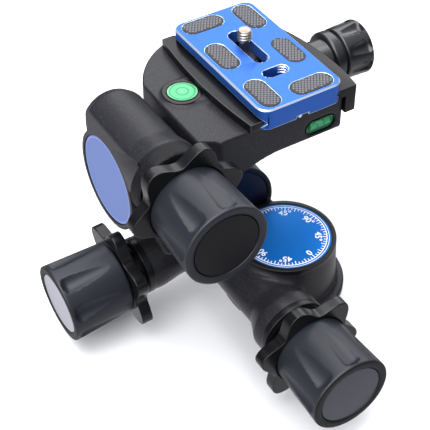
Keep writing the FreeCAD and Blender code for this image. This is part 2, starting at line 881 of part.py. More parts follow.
def upper_housing():
    """One casting: tilt drum, its barrel, and the arm that the roll spindle turns."""
    arm_start = s.roll_axis_y + s.unit_half_width + s.face_gap
    hub = cylinder(
        s.arm_radius, s.arm_thickness, (s.roll_axis_x, arm_start, s.roll_axis_z), (0, 1, 0))
    arm = new_body("Arm")
    inner_x = s.tilt_axis_x + s.unit_half_width
    # The arm leaves the hub on two tangent lines and ends in a cheek behind the drum.
    arm_sketch = outline(arm, "XZ_Plane", [
        (s.roll_axis_x, s.roll_axis_z - s.arm_low_point),
        (s.roll_axis_x, s.roll_axis_z + s.arm_radius),
        (root_end + s.arm_root_play, s.arm_root_top),
        (inner_x - s.face_gap, s.arm_root_top),
        (inner_x - s.face_gap, s.arm_cheek_top),
        (-s.arm_cheek_left, s.arm_cheek_top),
        (-s.arm_cheek_left, s.arm_underside),
        (inner_x, s.arm_underside - s.arm_underside_drop)])
    pad(arm, arm_sketch, s.arm_thickness, -(arm_start + s.arm_thickness))
    solid = fuse(hub, arm, *unit_shell(tilt))
    # The barrel is faced level with the drum's front, from its rear up to the collar.
    face_x = s.tilt_axis_x - tilt.front
    side_room = box(
        (face_x - s.spot_height, s.tilt_axis_y - tilt.barrel_front, s.tilt_axis_z),
        (face_x, s.tilt_axis_y + s.barrel_rear + s.face_gap,
         tilt.worm_centre[2] + tilt.barrel_radius + s.face_gap))
    spindle_seat = cylinder(
        s.spindle_root_radius, s.arm_thickness + s.face_gap,
        (s.roll_axis_x, arm_start - s.face_gap / 2, s.roll_axis_z), (0, 1, 0))
    return part("upper_housing", cut(solid, side_room, spindle_seat, *unit_rooms(tilt)))


lower_housing()
upper_housing()


# Base.

def base_plate():
    """Round foot that bears on the tripod; the pan spindle stands in its middle."""
    body = turned("BasePlate", [
        (s.spindle_root_radius, 0), (s.base_radius - s.base_edge, 0),
        (s.base_radius, s.base_edge), (s.base_radius, s.base_thickness),
        (s.spindle_root_radius, s.base_thickness)])
    return part("base_plate", body)


def tripod_bush():
    """Steel bush with the tripod thread, in the foot of the pan spindle."""
    body = turned("TripodBush", [
        (s.tripod_thread_radius, 0), (s.bush_radius, 0),
        (s.bush_radius, s.tripod_thread_length), (s.tripod_thread_radius, s.tripod_thread_length)])
    return part("tripod_bush", body)


base_plate()
tripod_bush()
spindle(pan, s.pan_floor - s.face_gap, s.bush_radius, s.tripod_thread_length)
spindle(roll, s.arm_thickness, s.screw_head_radius, s.screw_head_height)
spindle(tilt, s.root_thickness, s.screw_head_radius, s.screw_head_height)


# Platform with its levels.

def platform_slab():
    """Slab seen from above: straight front and right side, a big arc at the left rear."""
    slab = new_body("Slab")
    sketch = new_sketch(slab, "XY_Plane")
    corners = [
        (s.platform_front_left, s.platform_front), (s.platform_right, s.platform_front),
        (s.platform_right, s.rear_left_y - s.rear_right_rounding),
        (s.platform_right - s.rear_right_rounding, s.rear_left_y),
        (s.rear_left_x, s.rear_left_y), (s.platform_left, s.left_corner_y),
        (s.platform_left, s.step_back),
        (s.platform_front_left, s.step_back - s.step_rise)]
    spots = [FreeCAD.Vector(x.value, y.value, 0) for x, y in corners]
    middle = FreeCAD.Vector(s.arc_middle_x.value, s.arc_middle_y.value, 0)
    for number, start in enumerate(spots):
        finish = spots[(number + 1) % len(spots)]
        if number == 4:
            curve = Part.Arc(start, middle, finish)
        elif number == 2:
            turn = s.rear_right_rounding.value
            centre = FreeCAD.Vector(finish.x, start.y, 0)
            bulge = centre + FreeCAD.Vector(turn, turn, 0) * math.sqrt(0.5)
            curve = Part.Arc(start, bulge, finish)
        else:
            curve = Part.LineSegment(start, finish)
        sketch.addGeometry(curve, False)
    arcs = {2: 2, 4: 1}
    for number in range(len(spots)):
        after = (number + 1) % len(spots)
        own_end = 1 if number in arcs and sketch.Geometry[number].StartPoint.distanceToPoint(
            spots[after]) < 1e-6 else 2
        next_start = 2 if after in arcs and sketch.Geometry[after].EndPoint.distanceToPoint(
            spots[after]) < 1e-6 else 1
        sketch.addConstraint(Sketcher.Constraint("Coincident", number, own_end, after, next_start))
    for number, (x, y) in enumerate(corners):
        end = 2 if number in arcs and sketch.Geometry[number].EndPoint.distanceToPoint(
            spots[number]) < 1e-6 else 1
        pin_point(sketch, number, end, x, y)
    return slab, sketch


def platform():
    """L-shaped bracket: slab, belly that deepens to the left, web and round root."""
    slab, sketch = platform_slab()
    pad(slab, sketch, s.platform_top - s.platform_bottom, s.platform_bottom)
    belly = new_body("Belly")
    # The belly's underside falls away as a parabola.
    run = s.belly_start_x - s.platform_front_left
    steps = int(s.belly_steps.value)
    curve = [
        (s.belly_start_x - run * step / steps,
         s.platform_bottom - s.belly_depth * (step * step) / (steps * steps))
        for step in range(steps + 1)]
    belly_sketch = outline(belly, "XZ_Plane", [
        (s.platform_front_left, s.platform_bottom + s.overlap),
        (s.belly_start_x, s.platform_bottom + s.overlap)] + curve)
    pad(belly, belly_sketch, s.left_corner_y - s.platform_front, -s.left_corner_y)
    root_disc = cylinder(
        s.root_radius, s.root_thickness, (root_face, s.tilt_axis_y, s.tilt_axis_z), (1, 0, 0))
    web = box(
        (s.platform_left, s.tilt_axis_y - s.web_half_depth, s.tilt_axis_z),
        (root_end, s.tilt_axis_y + s.web_half_depth, s.platform_bottom + s.overlap))
    boss = cylinder(
        s.boss_radius, s.boss_height + s.overlap,
        (s.boss_x, s.boss_y, s.platform_top - s.overlap))
    tail = new_body("BossTail")
    tail_sketch = outline(tail, "XY_Plane", [
        (s.boss_x, s.boss_y - s.boss_radius), (s.boss_tail_x, s.boss_tail_y),
        (s.boss_tail_x, s.boss_y + s.boss_radius), (s.boss_x, s.boss_y + s.boss_radius)])
    pad(tail, tail_sketch, s.boss_height + s.overlap, s.platform_top - s.overlap)
    solid = fuse(slab, belly, root_disc, web, cut(fuse(boss, tail), left_edge()))
    spindle_seat = cylinder(
        s.spindle_root_radius, s.root_thickness + s.face_gap,
        (root_face - s.face_gap / 2, s.tilt_axis_y, s.tilt_axis_z), (1, 0, 0))
    round_room = cylinder(
        s.round_vial_radius, s.round_vial_depth + s.overlap,
        (s.boss_x, s.boss_y, s.platform_top + s.boss_height - s.round_vial_depth))
    screw_hole = cylinder(
        s.clamp_screw_radius + s.clamp_screw_play, s.clamp_screw_depth,
        (s.platform_right - s.clamp_screw_depth, s.plate_y, s.clamp_screw_z), (1, 0, 0))
    tools = [spindle_seat, round_room, screw_hole, tube_vial_room()]
    for side in (-1, 1):
        tools.append(cylinder(
            s.guide_pin_radius + s.running_gap, s.guide_pin_length,
            (s.platform_right - s.guide_pin_length, s.plate_y + side * s.guide_pin_offset,
             s.guide_pin_z), (1, 0, 0)))
    return part("platform", cut(solid, *tools))


def capsule(length, radius, depth, front):
    """Round-ended bar lying along X, sunk from a front face along +Y."""
    run = length - 2 * radius
    left = s.tube_vial_x - run / 2
    middle = box(
        (left, front, s.tube_vial_z - radius), (left + run, front + depth, s.tube_vial_z + radius))
    ends = [
        cylinder(radius, depth, (left, front, s.tube_vial_z), (0, 1, 0)),
        cylinder(radius, depth, (left + run, front, s.tube_vial_z), (0, 1, 0))]
    return fuse(middle, *ends)


def tube_vial_room():
    return capsule(
        s.tube_vial_length, s.tube_vial_radius, s.tube_vial_depth + s.overlap,
        s.platform_front - s.overlap)


part("round_level", cylinder(
    s.round_vial_radius, s.round_vial_depth + s.round_vial_proud,
    (s.boss_x, s.boss_y, s.platform_top + s.boss_height - s.round_vial_depth)))
part("tube_level", capsule(
    s.tube_vial_length, s.tube_vial_radius, s.tube_vial_depth, s.platform_front))


# Clamp.

plate_bottom = s.platform_top + s.plate_lift
clamp_axis = (0, s.plate_y, s.clamp_screw_z)


def jaw_lip(side, outer_x):
    """Corners of a jaw's section: it follows the plate's dovetail at a small play."""
    top = s.platform_top + s.jaw_height
    waist_z = plate_bottom + s.waist_height
    brow_slope = (s.plate_width - s.waist_width) / 2 / (s.shoulder_height - s.waist_height)
    foot = s.dovetail_width / 2 + s.jaw_play
    waist = s.waist_width / 2 + s.jaw_play
    brow = waist + (top - waist_z) * brow_slope
    return [
        (outer_x, s.platform_top), (s.plate_x + side * foot, s.platform_top),
        (s.plate_x + side * foot, plate_bottom + s.dovetail_foot),
        (s.plate_x + side * waist, waist_z),
        (s.plate_x + side * brow, top), (outer_x, top)]


def bowed_edge(outer_x, side, middle_y, half_span, bow, bottom):
    """Upright cylinder whose edge passes a jaw's middle and, set back by the bow, its ends."""
    radius = (half_span * half_span + bow * bow) / (2 * bow)
    return cylinder(
        radius, s.platform_top + s.jaw_height - bottom,
        (outer_x + side * radius, middle_y, bottom))


def left_edge():
    return bowed_edge(
        s.jaw_middle_x, 1, (s.jaw_front + s.jaw_rear) / 2, (s.jaw_rear - s.jaw_front) / 2,
        s.jaw_end_x - s.jaw_middle_x, s.platform_top)


def fixed_jaw():
    """Left jaw, seen from above with a gently bowed outer side."""
    lip = new_body("FixedLip")
    pad(lip, outline(lip, "XZ_Plane", jaw_lip(-1, s.jaw_middle_x)), s.jaw_rear - s.jaw_front,
        -s.jaw_rear)
    return part("fixed_jaw", common(lip, left_edge()))


def moving_jaw():
    """Right jaw: lip over the plate, a cheek down the platform's side, two pins."""
    lip = new_body("MovingLip")
    pad(lip, outline(lip, "XZ_Plane", jaw_lip(1, s.right_jaw_x)),
        s.right_jaw_rear - s.jaw_front, -s.right_jaw_rear)
    inner_x = s.platform_right + s.right_jaw_gap
    cheek = box(
        (inner_x, s.jaw_front, s.right_jaw_bottom),
        (s.right_jaw_x, s.right_jaw_rear, s.platform_top + s.right_jaw_gap))
    edge = bowed_edge(
        s.right_jaw_x, -1, s.right_jaw_bow_y, s.right_jaw_rear - s.right_jaw_bow_y,
        s.right_jaw_bow, s.right_jaw_bottom)
    boss = cylinder(
        s.clamp_seat_radius, s.clamp_seat_x - inner_x, (inner_x, s.plate_y, s.clamp_screw_z),
        (1, 0, 0))
    beyond = cylinder(
        s.clamp_seat_radius, s.right_jaw_x - s.clamp_seat_x,
        (s.clamp_seat_x, s.plate_y, s.clamp_screw_z), (1, 0, 0))
    hole = cylinder(
        s.clamp_screw_radius + s.running_gap, s.right_jaw_x - s.platform_right,
        (s.platform_right, s.plate_y, s.clamp_screw_z), (1, 0, 0))
    part("moving_jaw", cut(fuse(common(fuse(lip, cheek), edge), boss), hole, beyond))
    pins = []
    for side in (-1, 1):
        pins.append(cylinder(
            s.guide_pin_radius, s.guide_pin_length,
            (inner_x - s.guide_pin_length, s.plate_y + side * s.guide_pin_offset,
             s.guide_pin_z), (1, 0, 0)))
    pair = doc.addObject("Part::Compound", "GuidePins")
    pair.Links = pins
    part("clamp_guide_pins", place(pair))


def clamp_hand_screw():
    """Screw, its neck and ring, and the fluted knob that draws the moving jaw in."""
    seat_x = s.clamp_seat_x
    groove_x = s.clamp_ring_x + s.clamp_ring_width
    knob_x = groove_x + s.clamp_groove_width
    knob_run = s.clamp_knob_end - knob_x
    edge = s.clamp_edge
    part("clamp_screw", cylinder(
        s.clamp_screw_radius, s.clamp_screw_length,
        (seat_x - s.clamp_screw_length, s.plate_y, s.clamp_screw_z), (1, 0, 0)))
    collar = turned("ClampCollar", [
        (0, seat_x), (s.clamp_neck_radius, seat_x), (s.clamp_neck_radius, s.clamp_ring_x),
        (s.clamp_ring_radius - edge, s.clamp_ring_x),
        (s.clamp_ring_radius, s.clamp_ring_x + edge), (s.clamp_ring_radius, groove_x),
        (s.clamp_groove_radius, groove_x), (s.clamp_groove_radius, knob_x), (0, knob_x)])
    part("clamp_collar", place(collar, clamp_axis, turn_to((1, 0, 0))))
    cap_floor = s.clamp_knob_end - s.clamp_cap_thickness
    body = turned("ClampKnob", [
        (0, knob_x), (s.clamp_knob_radius - edge, knob_x),
        (s.clamp_knob_radius, knob_x + edge),
        (s.clamp_knob_radius, s.clamp_knob_end - edge),
        (s.clamp_knob_radius - edge, s.clamp_knob_end),
        (s.clamp_cap_radius, s.clamp_knob_end), (s.clamp_cap_radius, cap_floor), (0, cap_floor)])
    doc.recompute()
    flute_x = s.clamp_knob_radius + s.clamp_flute_radius - s.clamp_flute_depth
    flute = pocket(
        body, circle(body, "XY_Plane", s.clamp_flute_radius, flute_x, 0),
        knob_run - s.clamp_knob_margin, knob_x, True)
    around(body, [flute], s.clamp_knob_flutes)
    part("clamp_knob", place(body, clamp_axis, turn_to((1, 0, 0))))
    part("clamp_knob_cap", cylinder(
        s.clamp_cap_radius, s.clamp_cap_thickness, (cap_floor, s.plate_y, s.clamp_screw_z),
        (1, 0, 0)))


platform()
fixed_jaw()
moving_jaw()
clamp_hand_screw()


# Quick release plate, its pads and the camera screw.

def stadium(body, role, x, y, length, width, along_x):
    """Round-ended slot outline centred at a point."""
    sketch = new_sketch(body, role)
    run = (length - width) / 2
    half = width / 2
    x, y = as_size(x), as_size(y)
    if along_x:
        ends = [(x - run, y), (x + run, y)]
    else:
        ends = [(x, y - run), (x, y + run)]
    quarter = math.pi / 2
    first = quarter if along_x else math.pi
    for number, (cx, cy) in enumerate(ends):
        arc = Part.ArcOfCircle(
            Part.Circle(FreeCAD.Vector(cx.value, cy.value, 0), Z_AXIS, half.value),
            first + number * math.pi, first + (number + 1) * math.pi)
        sketch.addGeometry(arc, False)
    for number in (0, 1):
        start = sketch.Geometry[number].EndPoint
        finish = sketch.Geometry[1 - number].StartPoint
        sketch.addGeometry(Part.LineSegment(start, finish), False)
    for number in (0, 1):
        line = number + 2
        sketch.addConstraint(Sketcher.Constraint("Tangent", number, 2, line, 1))
        sketch.addConstraint(Sketcher.Constraint("Tangent", line, 2, 1 - number, 1))
    for number, (cx, cy) in enumerate(ends):
        pin_point(sketch, number, 3, cx, cy)
    width_number = sketch.addConstraint(Sketcher.Constraint("Radius", 0, half.value))
    sketch.setExpression("Constraints[%d]" % width_number, half.text)
    return sketch


def pad_places():
    """Centres of the six rubber pads, and whether each lies along X."""
    for side in (-1, 1):
        yield s.plate_x + side * s.end_pad_x, s.plate_y - side * s.end_pad_y, True
        yield s.plate_x + side * s.corner_pad_x, s.plate_y + side * s.corner_pad_y, False
        yield s.plate_x + side * s.side_pad_x, s.plate_y - side * s.side_pad_y, False


plate_top = plate_bottom + s.plate_thickness


def quick_release_plate():
    """Plate with a dovetail along Y, two screw slots and six shallow pad pockets."""
    body = new_body("Plate")
    half_dovetail = s.dovetail_width / 2
    half_waist = s.waist_width / 2
    half_plate = s.plate_width / 2
    heights = [
        (half_dovetail, plate_bottom), (half_dovetail, plate_bottom + s.dovetail_foot),
        (half_waist, plate_bottom + s.waist_height),
        (half_plate, plate_bottom + s.shoulder_height),
        (half_plate, plate_top - s.plate_chamfer), (half_plate - s.plate_chamfer, plate_top)]
    right = [(s.plate_x + width, z) for width, z in heights]
    left = [(s.plate_x - width, z) for width, z in reversed(heights)]
    start_y = s.plate_y - s.plate_length / 2
    section = outline(body, "XZ_Plane", right + left)
    pad(body, section, s.plate_length, -(start_y + s.plate_length))
    doc.recompute()
    near = s.slot_near_y
    slot_length = s.slot_far_y - s.slot_near_y
    slot_y = near + slot_length / 2
    deep = s.plate_thickness + 2 * s.overlap
    slot = stadium(body, "XY_Plane", s.plate_x, slot_y, slot_length, s.slot_width, False)
    pocket(body, slot, deep, plate_bottom - s.overlap, True)
    cross = stadium(
        body, "XY_Plane", s.plate_x, s.cross_slot_y, s.cross_slot_length, s.cross_slot_width, True)
    pocket(body, cross, deep, plate_bottom - s.overlap, True)
    room = stadium(
        body, "XY_Plane", s.plate_x, slot_y, slot_length + s.slot_room_width - s.slot_width,
        s.slot_room_width, False)
    pocket(body, room, s.slot_room_height + s.overlap, plate_bottom - s.overlap, True)
    for x, y, along_x in pad_places():
        seat = stadium(body, "XY_Plane", x, y, s.pad_length, s.pad_width, along_x)
        pocket(body, seat, s.pad_pocket + s.overlap, plate_top - s.pad_pocket, True)
    doc.recompute()
    corner_block = new_body("PlateCorners")
    rounded = rounded_rectangle(
        corner_block, s.plate_x, s.plate_y, s.plate_width + s.overlap, s.plate_length,
        s.plate_corner)
    pad(corner_block, rounded, s.plate_thickness + 2 * s.overlap, plate_bottom - s.overlap)
    return part("quick_release_plate", common(body, corner_block))


def rounded_rectangle(body, x, y, width, length, radius):
    """Rectangle with four rounded corners."""
    sketch = new_sketch(body, "XY_Plane")
    inner_x = width / 2 - radius
    inner_y = length / 2 - radius
    centres = [
        (x + inner_x, y + inner_y), (x - inner_x, y + inner_y),
        (x - inner_x, y - inner_y), (x + inner_x, y - inner_y)]
    for number, (cx, cy) in enumerate(centres):
        sketch.addGeometry(Part.ArcOfCircle(
            Part.Circle(FreeCAD.Vector(cx.value, cy.value, 0), Z_AXIS, radius.value),
            number * math.pi / 2, (number + 1) * math.pi / 2), False)
    for number in range(4):
        after = (number + 1) % 4
        sketch.addGeometry(Part.LineSegment(
            sketch.Geometry[number].EndPoint, sketch.Geometry[after].StartPoint), False)
    for number in range(4):
        after = (number + 1) % 4
        sketch.addConstraint(Sketcher.Constraint("Tangent", number, 2, number + 4, 1))
        sketch.addConstraint(Sketcher.Constraint("Tangent", number + 4, 2, after, 1))
    for number in (0, 2):
        pin_point(sketch, number, 3, *centres[number])
    held = sketch.addConstraint(Sketcher.Constraint("Radius", 0, radius.value))
    sketch.setExpression("Constraints[%d]" % held, radius.text)
    for number in (1, 2, 3):
        sketch.addConstraint(Sketcher.Constraint("Equal", 0, number))
    for number in (4, 6):
        sketch.addConstraint(Sketcher.Constraint("Horizontal", number))
    return sketch


def plate_pads():
    """Six ribbed rubber pads, each seated in its pocket."""
    solids = []
    for x, y, along_x in pad_places():
        body = new_body("Pad")
        shape = stadium(
            body, "XY_Plane", x, y, s.pad_length - 2 * s.pad_play, s.pad_width - 2 * s.pad_play,
            along_x)
        pad(body, shape, s.pad_pocket + s.pad_proud, plate_top - s.pad_pocket)
        solids.append(body)
    group = doc.addObject("Part::Compound", "Pads")
    group.Links = solids
    return part("plate_pads", place(group))


def camera_screw():
    """Camera screw: flat head in the plate's underside, neck, and thread on top."""
    head_bottom = plate_bottom + s.camera_head_lift
    head_top = head_bottom + s.camera_head_height
    washer_top = head_top + s.camera_washer_height
    tip = plate_top + s.camera_screw_rise
    body = turned("CameraScrew", [
        (0, head_bottom), (s.camera_head_radius, head_bottom),
        (s.camera_head_radius, head_top), (s.camera_neck_radius, head_top),
        (s.camera_neck_radius, tip - s.camera_thread_length),
        (s.camera_thread_radius, tip - s.camera_thread_length),
        (s.camera_thread_radius, tip - s.camera_screw_tip),
        (s.camera_thread_radius - s.camera_screw_tip, tip), (0, tip)])
    part("camera_screw", place(body, (s.plate_x, s.camera_screw_y, 0)))
    washer = turned("ScrewWasher", [
        (s.camera_neck_radius + s.running_gap, head_top + s.camera_washer_gap),
        (s.camera_washer_radius, head_top + s.camera_washer_gap),
        (s.camera_washer_radius, washer_top),
        (s.camera_neck_radius + s.running_gap, washer_top)])
    part("camera_screw_washer", place(washer, (s.plate_x, s.camera_screw_y, 0)))


quick_release_plate()
plate_pads()
camera_screw()


# Check and write.

def write_parts():
    doc.recompute()
    for thing in doc.Objects:
        if "Invalid" in thing.State or "Error" in thing.State:
            raise RuntimeError("failed object: %s %s" % (thing.Name, thing.Label))
    os.makedirs("parts", exist_ok=True)
    for thing in parts:
        shape = thing.Shape
        if shape.isNull() or not shape.isValid() or not shape.Solids:
            raise RuntimeError("bad shape: " + thing.Label)
        shape.exportStep("parts/%s.step" % thing.Label)
        print("%-24s %2d solids %10.1f mm3" % (thing.Label, len(shape.Solids), shape.Volume))


write_parts()
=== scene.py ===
import json
import math

import bmesh
import bpy
from mathutils import Matrix, Vector

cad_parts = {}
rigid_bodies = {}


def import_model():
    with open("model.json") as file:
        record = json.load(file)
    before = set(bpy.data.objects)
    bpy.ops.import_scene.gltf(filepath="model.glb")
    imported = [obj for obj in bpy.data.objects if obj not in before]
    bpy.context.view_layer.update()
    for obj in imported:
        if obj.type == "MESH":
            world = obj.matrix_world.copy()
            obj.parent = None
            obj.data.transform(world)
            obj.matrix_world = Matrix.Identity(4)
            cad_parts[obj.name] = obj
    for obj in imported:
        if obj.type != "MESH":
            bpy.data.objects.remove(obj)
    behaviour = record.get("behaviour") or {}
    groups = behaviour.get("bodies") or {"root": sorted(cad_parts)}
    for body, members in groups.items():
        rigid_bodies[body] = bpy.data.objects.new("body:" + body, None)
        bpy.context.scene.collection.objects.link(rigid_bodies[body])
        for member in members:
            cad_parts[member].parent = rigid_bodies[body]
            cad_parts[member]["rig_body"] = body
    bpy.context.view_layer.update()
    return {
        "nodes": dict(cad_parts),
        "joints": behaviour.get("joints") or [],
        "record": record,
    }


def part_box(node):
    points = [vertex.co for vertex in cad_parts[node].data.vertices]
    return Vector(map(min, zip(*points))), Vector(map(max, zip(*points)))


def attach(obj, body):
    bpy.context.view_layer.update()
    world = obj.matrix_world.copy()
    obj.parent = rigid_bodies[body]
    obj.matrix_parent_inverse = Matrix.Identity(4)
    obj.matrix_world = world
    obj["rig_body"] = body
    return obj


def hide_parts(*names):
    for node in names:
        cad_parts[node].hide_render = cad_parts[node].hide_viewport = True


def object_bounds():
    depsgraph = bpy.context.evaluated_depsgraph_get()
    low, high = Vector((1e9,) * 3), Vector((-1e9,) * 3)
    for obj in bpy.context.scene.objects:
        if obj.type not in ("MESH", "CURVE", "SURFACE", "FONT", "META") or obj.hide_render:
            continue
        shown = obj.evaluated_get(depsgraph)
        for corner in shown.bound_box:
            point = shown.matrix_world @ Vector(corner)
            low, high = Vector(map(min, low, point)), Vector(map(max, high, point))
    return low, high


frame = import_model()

mm = 0.001
joints = {joint["name"]: joint for joint in frame["joints"]}
units = ("pan", "roll", "tilt")


def addObject(name, data, materials=()):
    for material in materials:
        data.materials.append(material)
    piece = bpy.data.objects.new(name, data)
    bpy.context.scene.collection.objects.link(piece)
    return piece


def at(x, y, z):
    # a place in mm
    return Matrix.Translation((x * mm, y * mm, z * mm))


# the camera stands high at the front left, with a long lens
camera = {
    "place": (-0.2090, -0.2831, 0.3739),
    "right": (0.8508, -0.5255, -0.0020),
    "up": (0.3601, 0.5803, 0.7304),
    "back": (-0.3826, -0.6222, 0.6830),
    "lens": 96.45,
    "sensor": 36.0,
    "nearest": 0.02,
}


def placeCamera():
    data = bpy.data.cameras.new("camera")
    data.lens = camera["lens"]
    data.sensor_width = camera["sensor"]
    data.clip_start = camera["nearest"]
    view = addObject("camera", data)
    turn = Matrix((camera["right"], camera["up"], camera["back"])).transposed().to_4x4()
    view.matrix_world = Matrix.Translation(camera["place"]) @ turn
    bpy.context.scene.camera = view


placeCamera()
print("camera placed")


def linear(hexCode):
    # sRGB hex to linear colour
    shares = [int(hexCode[start:start + 2], 16) / 255 for start in (0, 2, 4)]
    return [x / 12.92 if x <= 0.04045 else ((x + 0.055) / 1.055) ** 2.4 for x in shares] + [1.0]


def addNode(tree, kind, links=None, **settings):
    # links maps an input to a value or to another node's output
    node = tree.nodes.new(kind)
    for name, value in settings.items():
        setattr(node, name, value)
    for name, value in (links or {}).items():
        if isinstance(value, bpy.types.NodeSocket):
            tree.links.new(value, node.inputs[name])
        else:
            node.inputs[name].default_value = value
    return node


def newMaterial(name, finish):
    material = bpy.data.materials.new(name)
    material.use_nodes = True
    shader = material.node_tree.nodes["Principled BSDF"]
    shader.inputs["Base Color"].default_value = linear(finish["colour"])
    for key, socket in (
            ("metallic", "Metallic"), ("roughness", "Roughness"), ("coat", "Coat Weight"),
            ("coatRoughness", "Coat Roughness"), ("specular", "Specular IOR Level")):
        if key in finish:
            shader.inputs[socket].default_value = finish[key]
    return material, material.node_tree, shader


# how each grain is drawn: the noise's detail, the span of it that turns into gloss, and
# the height as a share of the grain's width
grainLook = {
    "detail": 3.0, "roughness": 0.6, "low": 0.3, "high": 0.7, "height": 0.5,
    "patchDetail": 1.0,
}
# a finish that says nothing else is smooth and even, its grain 0.5 mm wide
usual = {"spread": 0.03, "grain": 0.5, "relief": 0.02}


def grain(tree, shader, finish):
    # colour, gloss and height all follow one grain, sized by the width of a grain in mm
    place = addNode(tree, "ShaderNodeTexCoord").outputs["Object"]
    specks = addNode(tree, "ShaderNodeTexNoise", {
        "Vector": place, "Scale": 1 / (finish["grain"] * mm), "Detail": grainLook["detail"],
        "Roughness": grainLook["roughness"]}).outputs["Fac"]
    tone = addNode(tree, "ShaderNodeMix", {
        "Factor": specks, 6: linear(finish["colour"]), 7: linear(finish["light"])},
        data_type="RGBA").outputs[2]
    spread = finish["spread"]
    gloss = addNode(tree, "ShaderNodeMapRange", {
        "Value": specks, "From Min": grainLook["low"], "From Max": grainLook["high"],
        "To Min": finish["roughness"] - spread, "To Max": finish["roughness"] + spread})
    bump = addNode(tree, "ShaderNodeBump", {
        "Height": specks, "Strength": finish["relief"],
        "Distance": finish["grain"] * mm * grainLook["height"]})
    tree.links.new(tone, shader.inputs["Base Color"])
    tree.links.new(gloss.outputs["Result"], shader.inputs["Roughness"])
    tree.links.new(bump.outputs["Normal"], shader.inputs["Normal"])
    return place, tone


def paintedGlints(tree, shader, finish, place, tone):
    # painted glints: pale dots painted into the colour, where tips of the powder's texture would
    # catch the light
    dots = addNode(tree, "ShaderNodeTexVoronoi", {
        "Vector": place, "Scale": 1 / (finish["dotSpacing"] * mm)})
    share = addNode(tree, "ShaderNodeMapRange", {
        "Value": dots.outputs["Distance"], "From Min": finish["dotSize"],
        "From Max": finish["dotSize"] * 2, "To Min": 1.0, "To Max": 0.0})
    patches = addNode(tree, "ShaderNodeTexNoise", {
        "Vector": place, "Scale": 1 / (finish["patch"] * mm),
        "Detail": grainLook["patchDetail"]})
    strength = addNode(tree, "ShaderNodeMath", {
        0: share.outputs["Result"], 1: patches.outputs["Fac"]}, operation="MULTIPLY")
    # painted glints: the colour turns pale at each dot
    mixed = addNode(tree, "ShaderNodeMix", {
        "Factor": strength.outputs["Value"], 6: tone, 7: linear(finish["glintColour"])},
        data_type="RGBA")
    tree.links.new(mixed.outputs[2], shader.inputs["Base Color"])


def coated(name, finish):
    finish = {**usual, **finish}
    material, tree, shader = newMaterial(name, finish)
    place, tone = grain(tree, shader, finish)
    if "glintColour" in finish:
        paintedGlints(tree, shader, finish, place, tone)
    return material


# powder coat on cast aluminium: satin black, pebbled, with fine pale glints painted into its
# colour;
# the pebbles of 0.2 mm are drawn 0.55 mm wide, so that they show
powderCoat = coated("powderCoatedCastAluminium", {
    "colour": "1b1b1e", "light": "2b2b2f", "roughness": 0.36, "spread": 0.05, "grain": 0.55,
    "relief": 0.2, "specular": 0.22, "glintColour": "4c4c51", "dotSpacing": 0.9, "dotSize": 0.14,
    "patch": 3.0,
})
# turned rims under the same black, smoother: a thin soft line of light round each end
satinRim = coated("satinBlackRim", {
    "colour": "0d0d0f", "light": "141417", "roughness": 0.32, "relief": 0.08, "specular": 0.3,
})
# painted knobs: smooth satin black that takes a broad cool light along each flute
knobCoat = coated("satinBlackAluminium", {
    "colour": "1a1c22", "light": "23262e", "roughness": 0.42, "relief": 0.05, "specular": 0.38,
})
# clamp knob and its collar: the same black, glossier, with clear streaks of light
clampCoat = coated("glossyBlackAluminium", {
    "colour": "121215", "light": "1a1a1e", "roughness": 0.3, "relief": 0.03, "specular": 0.75,
})
# the knobs' end faces, turned flat: painted shade, a darker black where they face away from the
# light, so they stay dark beside the flutes
shadedKnobEnd = coated("knobEndPaintedShade", {
    "colour": "0f0f11", "light": "161618", "roughness": 0.45, "relief": 0.04, "specular": 0.18,
})
# release rings: glossier black, so their edges draw bright lines
ringCoat = coated("glossBlackAluminium", {
    "colour": "0c0c0e", "light": "131316", "roughness": 0.26, "spread": 0.02, "grain": 0.6,
    "specular": 0.32,
})
# black anodised jaws: a dark metal gloss with a fine even grain
jawAnodised = coated("blackAnodisedAluminium", {
    "colour": "09090b", "light": "111113", "roughness": 0.28, "grain": 0.4, "relief": 0.05,
    "specular": 0.22,
})
# the jaws' edges: painted highlight, a lighter grey on the bevels that draws thin lines of light
jawEdgeHighlight = coated("jawEdgePaintedHighlight", {
    "colour": "2c2c30", "light": "3a3a3f", "metallic": 0.3, "roughness": 0.24, "specular": 0.7,
})
# blue anodised plate: bead blasted first, so the blue glows softly and has no mirror in it
plateAnodised = coated("blueAnodisedAluminium", {
    "colour": "1c52b2", "light": "3570ca", "metallic": 0.66, "roughness": 0.44, "spread": 0.06,
    "grain": 0.45, "relief": 0.14,
})
# edges cut after anodising: bare bright metal with a blue cast
cutEdge = coated("diamondCutAluminium", {
    "colour": "c4dcff", "light": "e8f2ff", "metallic": 0.75, "roughness": 0.3,
})
# dial plate: thin anodised sheet, a clear strong blue under a little gloss
dialAnodised = coated("brightBlueAnodisedDial", {
    "colour": "0461b6", "light": "0a74cc", "metallic": 0.45, "roughness": 0.36, "grain": 0.4,
    "relief": 0.04, "specular": 0.2,
})
# end disc of the tilt unit: the same sheet in periwinkle, partly its own blue and partly painted
# light: paler all over, as where the sky lies on it
tiltDiscPaintedLight = coated("periwinkleDiscPaintedLight", {
    "colour": "5f76ba", "light": "758ccb", "metallic": 0.3, "roughness": 0.4, "grain": 0.4,
    "relief": 0.03,
})
# end disc of the roll unit: painted shade, a dark navy, almost black, as its blue in the shade
rollDiscPaintedShade = coated("navyDiscPaintedShade", {
    "colour": "05061c", "light": "080b28", "metallic": 0.2, "roughness": 0.4, "spread": 0.02,
    "grain": 0.4,
})
# screen printed ink: flat, faintly cool white, a little raised
dialInk = coated("whiteDialInk", {
    "colour": "dfeaf8", "light": "ffffff", "roughness": 0.5, "spread": 0.02, "grain": 0.3,
})
# thin line printed on the tilt disc: pale blue ink
discInk = coated("paleBlueDiscInk", {
    "colour": "93a5dc", "light": "a3b4e6", "roughness": 0.5, "spread": 0.02, "grain": 0.3,
})
